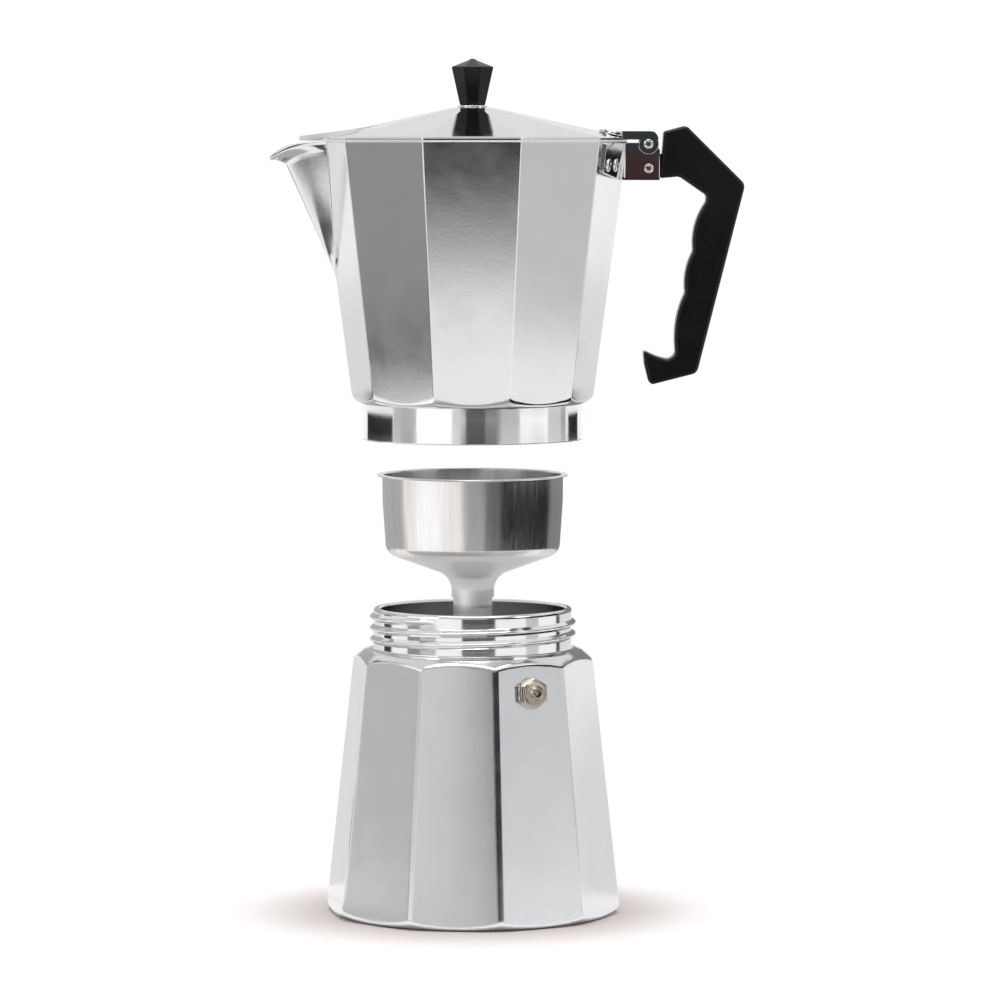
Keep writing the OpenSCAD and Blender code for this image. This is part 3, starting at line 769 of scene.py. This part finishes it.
def inside_rings():
    """Down the inside of wall and spout to the floor."""
    gap = COLLECTOR_WALL
    rings = [spout_row(1.2, 12.5, 87.0, 6.7, 3.5, gap), spout_row(3.0, 12.3, 84.4, 7.6, 3.5, gap),
             spout_row(5.2, 12.1, 81.6, 9.6, 3.2, gap)]
    for up in spread(0.95, 0, 12):
        nose_drop = 52 - 42 * up
        nose_x = 60.4 + 21.2 * up
        rings.append(spout_row(nose_drop - 4.4 * up * up, 0.6 + 11.5 * up, nose_x, nose_drop,
                               3.0, gap))
    floor_drop = TOP_Z - SEAT_Z - 5.6
    for drop in (58, 70, 84, floor_drop - 8.2):
        rings.append(collector_ring(wall(corner_at(drop) - gap), TOP_Z - drop))
    low_r = corner_at(floor_drop) - gap
    for a in spread(0, pi / 2, 8)[1:]:
        z = TOP_Z - floor_drop + 8 * (1 - sin(a))
        corner = corner_at(TOP_Z - z) - gap
        rings.append(collector_ring(wall(corner, low_r - 9 + 8 * cos(a)), z))
    rings += [collector_ring(round_wall(r), TOP_Z - floor_drop) for r in (20, 8)]
    return rings


collector = Shape()
collector_rows = collector_rings()
collector.rings([ring for ring, _ in collector_rows], [kind for _, kind in collector_rows],
                loop=True)
make(collector, "collector", "collector", CAST_LOOKS, ["collector_shell"],
     sharp=50)


# ---- coffee column


def column_shape():
    """The hollow column inside the collector, with two slots under its closed tip."""
    foot = SEAT_Z + 5.2
    tip = TOP_Z - 34
    outside = soften([(15, foot), (14.2, foot + 1.2), (11.2, foot + 6), (7.6, tip - 7),
                      (7.2, tip - 1.2), (5.5, tip), (0.3, tip)], 2.2, steps=5)
    bore = soften([(0.3, tip - 3), (4.2, tip - 3), (4.4, tip - 5), (7.9, SEAT_Z + 2.8)], 0.8,
                  steps=3)
    return tube(outside + bore, 72)


def cut_slots(piece, heights):
    """Cuts the column's two side slots, and throws the cutter away."""
    cutter_mesh = bpy.data.meshes.new("slot_cutter")
    work = bmesh.new()
    bottom, top = heights
    matrix = Matrix.Diagonal((4.6 * MM, 40 * MM, (top - bottom) * MM, 1))
    matrix.translation = (0, 0, (top + bottom) / 2 * MM)
    bmesh.ops.create_cube(work, size=1, matrix=matrix)
    bmesh.ops.bevel(work, geom=work.edges[:], offset=0.8 * MM, segments=3, affect="EDGES")
    work.to_mesh(cutter_mesh)
    work.free()
    cutter = add_object("slot_cutter", cutter_mesh)
    cut = piece.modifiers.new("slots", "BOOLEAN")
    cut.object = cutter
    cut.solver = "EXACT"
    piece.modifiers.move(1, 0)
    bpy.context.view_layer.update()
    done = bpy.data.meshes.new_from_object(
        piece.evaluated_get(bpy.context.evaluated_depsgraph_get()))
    piece.modifiers.clear()
    piece.data = done
    bpy.data.objects.remove(cutter)


column = make(column_shape(), "coffee_column", "collector", [CAST_INSIDE])
cut_slots(column, (TOP_Z - 47, TOP_Z - 39))


# ---- lid


LID_EDGE_Z = 1.8
LID_TOP_Z = 15.2
LID_TOP_R = 8.0
LID_WALL = 1.5
BEAK_X = 76.75
BEAK_Z = 2.45
BEAK_BEND = 1.6
# In plan the beak's flanks are the lines FLANK_X * x + FLANK_Y * abs(y) = FLANK_REACH.
FLANK_X = 12.9
FLANK_Y = 14.0
FLANK_REACH = 1016.8
FLANK_UNIT = 19.04


def beak_reach(off):
    """How far the beak reaches at an angle off the spout's direction."""
    flank = FLANK_REACH / (FLANK_X * cos(off) + FLANK_Y * abs(sin(off)))
    return soft_min(flank, BEAK_X / cos(off) + 0.4, 2.4)


def lid_reach(angle):
    """The lid's edge: ten-sided, with the beak over the spout."""
    off = (angle % (2 * pi)) - pi
    edge = faceted(angle, COLLECTOR_TOP_R, SIDES, 1.6)
    if abs(off) > HALF_SIDE:
        return edge
    return soft_max(edge, beak_reach(off), 1.6)


def cone_height(angle, r):
    """The ten-sided cone's height over the collector's edge."""
    corner = max(r / faceted(angle, 1.0, SIDES, 0.02), 0)
    rise = (COLLECTOR_TOP_R - corner) / (COLLECTOR_TOP_R - LID_TOP_R)
    return LID_EDGE_Z + (LID_TOP_Z - LID_EDGE_Z) * rise


def lid_height(angle, r):
    """The lid's upper surface over the collector's edge."""
    height = soft_min(cone_height(angle, r), LID_TOP_Z, 0.8)
    off = (angle % (2 * pi)) - pi
    x, y = r * cos(off), abs(r * sin(off))
    if abs(off) < HALF_SIDE and x > 50:
        inside = (FLANK_REACH - FLANK_X * x - FLANK_Y * y) / FLANK_UNIT
        fall = BEAK_BEND * max(0, 1 - max(inside, 0) / BEAK_BEND) ** 2
        beak = BEAK_Z + (BEAK_X - x) * 0.12 - fall
        height = soft_max(height, beak, 0.7)
    return height


def lid_angles():
    """Angles for the lid's rings, closest together round the beak."""
    fine = [pi + radians(d) for d in spread(-14, 14, 56)]
    return sorted([a for a in facet_angles() if abs(a % (2 * pi) - pi) > radians(14.2)] + fine)


def lid_rings():
    """From the middle over the top to the edge, and back along the underside."""
    angles = lid_angles()
    rings = []

    def ring(reach, height):
        """Adds a ring from functions reach(angle) and height(angle, reach)."""
        reaches = [reach(a) for a in angles]
        rings.append([polar(r, a, TOP_Z + height(a, r)) for r, a in zip(reaches, angles)])

    for part in (0.004, 0.08, 0.104, 0.11, 0.116, 0.122, 0.13, 0.2, 0.4, 0.6, 0.74):
        ring(lambda a: lid_reach(a) * part, lid_height)
    for back in (14, 11, 9, 7.5, 6, 5, 4, 3.2, 2.5, 1.9, 1.3, 0.8):
        ring(lambda a: lid_reach(a) - back, lid_height)
    for back, drop in ((0.4, 0.06), (0.12, 0.22), (0.0, 0.5)):
        ring(lambda a: lid_reach(a) - back, lambda a, r: lid_height(a, lid_reach(a)) - drop)
    for back, z in ((0.0, 0.55), (0.12, 0.36), (0.4, 0.3), (2.0, 0.3), (2.5, 0.4)):
        ring(lambda a: lid_reach(a) - back, lambda a, r: z)
    for back in (3.2, 8, 20):
        ring(lambda a: faceted(a, COLLECTOR_TOP_R) - back,
             lambda a, r: cone_height(a, r) - LID_WALL)
    for part in (0.4, 0.2, 0.08, 0.004):
        ring(lambda a: faceted(a, COLLECTOR_TOP_R) * part,
             lambda a, r: min(cone_height(a, r), LID_TOP_Z) - LID_WALL)
    return rings


make(Shape().rings(lid_rings()), "lid", "lid", [POLISHED], ["lid_shell"])


# ---- knob


KNOB_SIDES = 8
KNOB_TURN = pi / KNOB_SIDES


def knob_rings():
    """Eight-sided, wider towards its top, with a flat pyramid over it."""
    angles = facet_angles(KNOB_SIDES, KNOB_TURN, 2.5)
    point_z = KNOB_TOP_Z - 3.7
    rings = []
    profile = [(3.0, KNOB_FOOT_Z), (5.7, KNOB_FOOT_Z), (6.05, KNOB_FOOT_Z + 0.35)]
    profile += [(6.1 + 3.8 * t, KNOB_FOOT_Z + 0.35 + 16 * t) for t in spread(0.1, 1, 6)]
    profile += soften([(9.98, point_z - 0.5), (9.9, point_z + 0.1), (2.2, KNOB_TOP_Z - 0.75),
                       (1.0, KNOB_TOP_Z)], 0.7)
    profile.append((0.2, KNOB_TOP_Z))
    for corner, z in profile:
        rounding = min(0.8, corner * 0.3)
        rings.append([polar(faceted(a - KNOB_TURN, corner, KNOB_SIDES, rounding), a, z)
                      for a in angles])
    return rings


make(Shape().rings(knob_rings()), "knob_octagon", "lid", [BAKELITE],
     ["knob"])

ring_line = soften([(2.2, 0), (6.8, 0), (6.8, 0.7), (2.2, 0.7)], 0.25, True)
knob_ring = tube([(r, z + low("knob_washer").z) for r, z in ring_line], 72)
make(knob_ring, "knob_ring", "lid", [BRIGHT], ["knob_washer"])


# ---- handle


def handle_outline():
    """Over the top, down the back, round the hook and up the finger grips."""
    grip = [(90.1, -93.3), (94.4, -67.3), (97.9, -48.7), (103.6, -26.8)]
    line = [(84.9, 4.4), (91.3, 6.1)]
    line += arc(94, 3.8, 2.9, 100, 45, 5) + arc(116.58, -20.3, 4.1, 42, -12, 8)
    line += arc(96.6, -99.6, 4, -14, -78, 8) + arc(80.9, -105, 3, -103, -160, 6)
    line += [(76.3, -98.7), (75.9, -93.6), (76.9, -93.1)]
    line += bow((76.9, -93.1), (86, -96.6), -0.4, 5) + arc(86.4, -92.8, 3.8, -80, -12, 8)
    for p, q, rise, steps in zip(grip, grip[1:], (1.9, 1.5, 2.1), (12, 10, 12)):
        line += bow(p, q, rise, steps)
    line += arc(101.6, -25, 2.1, 0, 62, 5) + [(92.7, -16.3), (91.3, -15.7), (83.4, -16.4)]
    return soften(line, 0.8, True, 3)


handle = Shape()
handle.rings(plate(handle_outline(), 0, 8.5, 1.5))
tongue = soften([(71, -5.5), (71, -16), (86, -16), (86, -5.5)], 0.6, True)
handle.rings(plate(tongue, 0, 6.3, 0.4))
make(handle, "handle_grip", "collector", [BAKELITE], ["handle"])


# ---- bracket and leaf


CHEEK_Y = 6.9
WING_H = 17.3
STEEL_T = 1.0
WING_FAR = 35.0
WING_NEAR = 7.3
HINGE_LUG_R = 3.4
TURNED_OVER = Matrix.Rotation(pi, 4, "X")


def on_side(side):
    """Matrix of the wing's own plane: X from the corner, Y up and Z straight out."""
    half = COLLECTOR_TOP_R * sin(HALF_SIDE)
    lean = atan2(COLLECTOR_TAPER * cos(HALF_SIDE), 1)
    matrix = (Matrix.Translation((0, 0, TOP_Z)) @ Matrix.Rotation(side * HALF_SIDE, 4, "Z")
              @ Matrix.Translation((COLLECTOR_TOP_R * cos(HALF_SIDE), -side * half, 0))
              @ Matrix.Rotation(lean, 4, "Y") @ Matrix.Rotation(pi / 2, 4, "Z")
              @ Matrix.Rotation(pi / 2, 4, "X"))
    if side < 0:
        matrix = matrix @ Matrix.Diagonal((-1, 1, 1, 1))
    return matrix


def cheek_top(x):
    """Height of the cheek's upper edge under the collector's edge."""
    height = -0.6 - 3.4 * max(0, (x - 81.5) / 1.7)
    if abs(x - HINGE_X) < HINGE_LUG_R:
        height = max(height, -HINGE_DROP + sqrt(HINGE_LUG_R ** 2 - (x - HINGE_X) ** 2))
    return height


def wing_columns(side):
    """Columns of points up the wing, from its far end to the bend."""
    matrix = on_side(side)
    middle = 0.05 + STEEL_T / 2
    columns = []
    for s in spread(WING_FAR, WING_NEAR + 2.5, 24):
        low_edge = -WING_H + 3.6 * (s - WING_NEAR) / (WING_FAR - WING_NEAR)
        edge = min(1, (WING_FAR - s + 0.15) / 1.2)
        trim = 1.2 * (1 - sqrt(1 - (1 - edge) ** 2))
        heights = spread(low_edge + trim, -0.5 - trim, 12)
        columns.append([matrix @ Vector((s, h, middle)) for h in heights])
    return columns


def cheek_columns(side):
    """Columns of points up the cheek, from the bend to the handle."""
    columns = []
    for x in spread(67.9, 83.2, 34):
        heights = spread(-WING_H, cheek_top(x), 12)
        columns.append([Vector((x, side * CHEEK_Y, TOP_Z + h)) for h in heights])
    return columns


def sheet_piece(columns):
    """A sheet of metal from columns of points."""
    shape = Shape()
    rows = len(columns[0])
    points = [p for column in columns for p in column]
    faces = [[i * rows + j, (i + 1) * rows + j, (i + 1) * rows + j + 1, i * rows + j + 1]
             for i in range(len(columns) - 1) for j in range(rows - 1)]
    shape.add(points, faces)
    return shape


def thicken(piece, thickness, bevel):
    """Gives a sheet its thickness and breaks its edges, before the normals."""
    solid = piece.modifiers.new("thickness", "SOLIDIFY")
    solid.thickness = thickness * MM
    solid.offset = 0
    edges = piece.modifiers.new("edges", "BEVEL")
    edges.width = bevel * MM
    edges.segments = 3
    edges.limit_method = "ANGLE"
    edges.angle_limit = radians(50)
    piece.modifiers.move(piece.modifiers.find("normals"), 2)


def bracket_side(side):
    """Wing and cheek, with a rounded bend towards the corner where they would meet."""
    wing, cheek = wing_columns(side), cheek_columns(side)
    along = (wing[-1][0] - wing[-2][0]).normalized()
    rows = []
    for p, q in zip(wing[-1], cheek[0]):
        reach = (q.y - p.y) / along.y
        rows.append((p, Vector((p.x + along.x * reach, q.y, (p.z + q.z) / 2)), q))
    bend = [[curve(p, corner, q, t) for p, corner, q in rows] for t in spread(0, 1, 8)[1:-1]]
    return sheet_piece(wing + bend + cheek)


for side, name in ((-1, "bracket_near"), (1, "bracket_far")):
    nodes = ["handle_bracket"] if side < 0 else []
    thicken(make(bracket_side(side), name, "collector", [STEEL], nodes), STEEL_T,
            0.22)


def dome(head_r, head_t, under):
    """Rings of a rivet's rounded head over z = 0, with a short shank under it."""
    profile = [(1.5, -under), (1.5, 0), (head_r, 0), (head_r, 0.15)]
    profile += [(head_r * cos(a), 0.15 + (head_t - 0.15) * sin(a))
                for a in spread(0.15, pi / 2 - 0.06, 9)]
    return turned(profile, 40)


def add_placed(shape, rings, matrix):
    """Adds a skin over rings to a shape, moved by a matrix."""
    part = Shape().rings(rings).placed(matrix)
    shape.add(part.points, part.faces)


rivets = Shape()
for side in (-1, 1):
    for x in (17.2, 28.5):
        outer = on_side(side) @ Matrix.Translation((x, -10.5, STEEL_T + 0.05))
        inner = on_side(side) @ Matrix.Translation((x, -10.5, -2.4)) @ TURNED_OVER
        add_placed(rivets, dome(2.9, 0.95, 3.4), outer)
        add_placed(rivets, dome(2.9, 0.6, 0.1), inner)
make(rivets, "bracket_rivet_heads", "collector", [STEEL], ["bracket_rivets"])


def eyelet(x, drop, half_w):
    """A hollow rivet along Y with rolled ends."""
    line = soften([(0.9, -half_w - 0.4), (1.4, -half_w - 0.5), (2.1, -half_w - 0.2),
                   (2.1, -half_w), (1.5, -half_w)], 0.25, steps=3)
    mirror = [(r, -z) for r, z in reversed(line)]
    matrix = Matrix.Translation((x, 0, TOP_Z - drop)) @ Matrix.Rotation(pi / 2, 4, "X")
    return tube(line + mirror, 40).placed(matrix)


make(eyelet(RIVET_X, RIVET_DROP, 7.4), "handle_eyelet", "collector", [STEEL],
     ["handle_rivet"])
make(eyelet(HINGE_X, HINGE_DROP, 8.7), "hinge_eyelet", "collector", [STEEL],
     ["hinge_pin"])


LEAF_TOP = 4.7
LEAF_Y = 7.6


def leaf_outline():
    """One of the leaf's two ears, round the hinge pin."""
    lobe = arc(HINGE_X, -HINGE_DROP, 4.55, 20, -170, 26)
    line = [(66.3, 0.7), (66.3, LEAF_TOP)] + arc(78.9, LEAF_TOP - 3.6, 3.6, 90, 0, 10)
    return soften(line + lobe + [(74.3, 0.6)], 0.4, True, 3)


leaf = Shape()
for side in (-1, 1):
    leaf.rings(plate(leaf_outline(), side * (LEAF_Y + 0.5), 0.5, 0.2))
leaf_section = soften([(-8.6, LEAF_TOP - 1), (-8.6, LEAF_TOP), (8.6, LEAF_TOP),
                       (8.6, LEAF_TOP - 1)], 0.45, True)
leaf.rings([[(x, p.x, TOP_Z + p.y) for p in inset(leaf_section, back)]
            for x, back in ((63.4, 0.25), (63.65, 0), (78.2, 0), (78.4, 0.2))])
ridge_tilt = atan2(LID_TOP_Z - LID_EDGE_Z, COLLECTOR_TOP_R - LID_TOP_R)
on_ridge = (Matrix.Translation((COLLECTOR_TOP_R, 0, TOP_Z + LID_EDGE_Z + 0.05))
            @ Matrix.Rotation(ridge_tilt, 4, "Y"))
flap_plan = soften([(-2.6, -8), (-2.6, 8), (-9, 7.4), (-13, 2.4), (-13, -2.4), (-9, -7.4)],
                   1.2, True)
flap = [[(p.x, p.y, z) for p in inset(flap_plan, back)]
        for z, back in ((0, 0.15), (0.15, 0), (0.8, 0), (1, 0.2))]
add_placed(leaf, flap, on_ridge)
make(leaf, "lid_hinge_leaf", "lid", [STEEL], ["lid_leaf"])

small_rivets = Shape()
for side in (-1, 1):
    upper = on_ridge @ Matrix.Translation((-8.8, side * 4, 1))
    lower = on_ridge @ Matrix.Translation((-8.8, side * 4, -1.7)) @ TURNED_OVER
    add_placed(small_rivets, dome(2.1, 0.7, 2.5), upper)
    add_placed(small_rivets, dome(2.1, 0.5, 0.1), lower)
make(small_rivets, "leaf_rivet_heads", "lid", [STEEL], ["leaf_rivets"])


# ---- studio


def glowing(name, color, strength):
    """A material that only gives light."""
    material = new_material(name)
    tree = material.node_tree
    tree.nodes.clear()
    glow = add_node(tree, "Emission", Color=(*color, 1), Strength=strength)
    add_node(tree, "OutputMaterial", Surface=glow.outputs[0])
    return material


def staged(name, corners, material, seen=True):
    """A flat sheet that isn't part of the object, in metres."""
    mesh = bpy.data.meshes.new(name)
    mesh.from_pydata(corners, [], [list(range(len(corners)))])
    mesh.materials.append(material)
    sheet = add_object(name, mesh)
    if not seen:
        sheet.visible_camera = False
        sheet.visible_diffuse = False
        sheet.visible_shadow = False
        sheet.visible_transmission = False


def around(angle, r, z):
    """A point in metres, its angle in degrees counted from the front to the right."""
    return polar(r, FRONT + radians(angle), z)


WHITE = (1, 1, 1)


def flat_card(name, start, end, near, far, tone, z=0.002):
    """A level card that only reflections see."""
    steps = max(2, ceil(abs(end - start) / 8))
    inner = [around(a, near, z) for a in spread(start, end, steps)]
    outer = [around(a, far, z) for a in spread(end, start, steps)]
    staged(name, inner + outer, glowing(name, WHITE, tone), False)


def wall_card(name, start, end, tone, bottom=0.0, top=0.15, r=3.0, color=WHITE):
    """An upright card that only reflections see."""
    angles = spread(start, end, max(1, ceil(abs(end - start) / 20)))
    for i, (a, b) in enumerate(zip(angles, angles[1:])):
        corners = [around(a, r, bottom), around(b, r, bottom), around(b, r, top), around(a, r, top)]
        staged(f"{name}_{i}", corners, glowing(f"{name}_{i}", color, tone), False)


def area_light(name, place, target, size, power):
    data = bpy.data.lights.new(name, "AREA")
    data.shape = "DISK"
    data.size = size
    data.energy = power
    lamp = add_object(name, data)
    lamp.location = place
    lamp.rotation_euler = (Vector(target) - Vector(place)).to_track_quat("-Z", "Y").to_euler()


def build_world():
    """Greyer in front and brighter behind in reflections, white for the camera."""
    world = bpy.data.worlds.new("studio")
    bpy.context.scene.world = world
    world.use_nodes = True
    tree = world.node_tree
    place = add_node(tree, "TexCoord")
    split = add_node(tree, "SeparateXYZ", Vector=place.outputs["Generated"])
    depth = add_node(tree, "MapRange", Value=split.outputs["Y"], From_Min=-1, From_Max=1,
                     To_Min=0.56, To_Max=0.86)
    seen = add_node(tree, "LightPath")
    pick = add_node(tree, "Mix", Factor=seen.outputs["Is Camera Ray"], A=depth.outputs["Result"],
                    B=1.05)
    set_inputs(tree, tree.nodes["Background"], Color=(1, 1, 1, 1),
               Strength=pick.outputs["Result"])


def floor_material():
    """Darker near the pot, where the colour is painted shade on top of the rendered contact shadow,
    evenly bright further away.
    """
    material = new_material("floor")
    tree = material.node_tree
    # Painted shade: the floor's colour is darker round the foot than the bright floor further out,
    # deepening the rendered shadow there.
    shader = set_inputs(tree, tree.nodes["Principled BSDF"], Base_Color=(0.64, 0.59, 0.575, 1),
                        Roughness=0.9, Specular_IOR_Level=0.1)
    place = add_node(tree, "TexCoord")
    length = add_node(tree, "VectorMath", Vector=place.outputs["Object"])
    length.operation = "LENGTH"
    fade = add_node(tree, "MapRange", Value=length.outputs["Value"], From_Min=0.06,
                    From_Max=0.115)
    fade.interpolation_type = "SMOOTHSTEP"
    glow = add_node(tree, "Emission", Color=(1, 0.975, 0.97, 1), Strength=1.035)
    blend = add_node(tree, "MixShader", Fac=fade.outputs["Result"])
    tree.links.new(shader.outputs[0], blend.inputs[1])
    tree.links.new(glow.outputs[0], blend.inputs[2])
    set_inputs(tree, tree.nodes["Material Output"], Surface=blend.outputs[0])
    return material


build_world()
FLOOR_M = 12.0
floor_corners = [(FLOOR_M * x, FLOOR_M * y, 0) for x, y in ((-1, -1), (1, -1), (1, 1), (-1, 1))]
staged("floor", floor_corners, floor_material())
area_light("top_softbox", (0.0, -0.2, 2.4), (0, 0, 0.1), 1.8, 26)
area_light("left_softbox", (-1.7, -1.3, 1.2), (0, 0, 0.2), 0.9, 6)
area_light("right_softbox", (1.9, -0.9, 1.4), (0, 0, 0.2), 0.8, 5)

# Cards on the floor, seen in the collector's walls and in the boiler's neck.
flat_card("front_flag", -12, 26, 1.24, 8.0, 0.0)
flat_card("front_flag_grey", -12, 26, 1.15, 1.24, 0.27)
flat_card("front_flag_pale", -12, 26, 1.04, 1.15, 0.5)
flat_card("left_flag_near", -80, -64, 0.96, 1.12, 0.02)
flat_card("left_flag", -80, -64, 1.12, 8.0, 0.29)
flat_card("spout_flag", -64, -42, 0.69, 1.3, 0.05)
flat_card("right_flag", 64, 80, 1.1, 8.0, 0.58)
flat_card("far_left_floor", -172, -130, 0.12, 2.95, 0.8)
flat_card("far_right_floor", 112, 164, 0.12, 2.95, 0.8)

# Cards round the foot: pale where its rim looks, darker where the sides end.
flat_card("foot_light", -180, 180, 0.0668, 0.09, 1.0, 0.0004)
flat_card("foot_left", -100, -45, 0.1, 0.4, 0.45)
flat_card("foot_front", -45, 20, 0.1, 0.4, 0.4)
flat_card("foot_right", 20, 80, 0.1, 0.4, 0.55)

# Dark cards that the boiler's neck shows as narrow bands.
flat_card("neck_left", -124, -106, 0.9, 2.2, 0.01, 0.003)
flat_card("neck_right", 112, 120, 0.9, 1.6, 0.02, 0.003)

# A pale card over the boiler's mouth, seen in the funnel's cone.
flat_card("mouth_left", -180, 0, 0.012, 0.04, 0.6, 0.1375)
flat_card("mouth_right", 0, 180, 0.012, 0.04, 0.6, 0.1375)

# Upright cards low down, seen in the skirt and in the bracket's wing.
wall_card("skirt_left", -126, -78, 0.02, 0.2045, 0.2185, 0.15)
wall_card("left_grey", -90, -60, 0.5)
wall_card("left_white", -60, -21, 1.3)
wall_card("front_pale", -21, -7, 0.68)
wall_card("front_dark", -7, 13, 0.15)
wall_card("front_grey", 13, 28, 0.33)
wall_card("front_light", 28, 50, 0.52)
wall_card("wing_flag", 20, 50, 0.01, 0.292, 0.322, 0.3)
wall_card("wing_light", 20, 50, 0.9, 0.322, 0.336, 0.3)
wall_card("right_white", 50, 85, 1.1, 0.0, 0.1)
wall_card("right_light", 85, 104, 0.62)
wall_card("right_grey", 104, 115, 0.4)
wall_card("skirt_right", 103, 125, 0.02, 0.2045, 0.2185, 0.15)

# Cards higher up, seen in the boiler's sides and in the bracket.
wall_card("boiler_far_left", -176, -130, 0.66, 0.2, 0.8)
wall_card("boiler_left", -102, -68, 0.54, 0.15, 0.7)
wall_card("boiler_pale", -30, -14, 0.72, 0.15, 0.7)
wall_card("boiler_grey", -14, -10.3, 0.58, 0.15, 0.7)
wall_card("boiler_dark", -10.3, 47, 1.0, 0.15, 0.7, 3.0, (0.008, 0.014, 0.02))
wall_card("boiler_right", 47, 75, 0.68, 0.1, 0.7)
wall_card("cheek_flag", -1, 7, 1.0, 0.25, 0.331, 2.9, (0.06, 0.03, 0.026))
wall_card("leaf_flag", -1, 7, 1.0, 0.331, 0.42, 2.9, (0.035, 0.045, 0.05))

# Cards close to the funnel, seen in its wall.
for name, start, end, tone in (
    ("funnel_left", -165, -88, 0.45),
    ("funnel_white", -70, -34, 1.2),
    ("funnel_pale", -10, 14, 0.4),
    ("funnel_grey", 14, 32, 0.14),
    ("funnel_dark", 32, 104, 0.0),
    ("funnel_right", 104, 165, 0.24),
):
    wall_card(name, start, end, tone, 0.128, 0.192, 0.15)

CAMERA_AT = (0.0122, -2.25, 0.346)
CAMERA_TO = (0.0122, 0.0, 0.185)
FIELD_M = 0.446
SENSOR_MM = 36
camera_data = bpy.data.cameras.new("camera")
camera_data.sensor_width = SENSOR_MM
camera_data.lens = SENSOR_MM * abs(CAMERA_AT[1]) / FIELD_M
camera = add_object("camera", camera_data)
camera.location = CAMERA_AT
aim = Vector(CAMERA_TO) - Vector(CAMERA_AT)
camera.rotation_euler = aim.to_track_quat("-Z", "Y").to_euler()
bpy.context.scene.camera = camera
bpy.context.scene.view_settings.view_transform = "Standard"
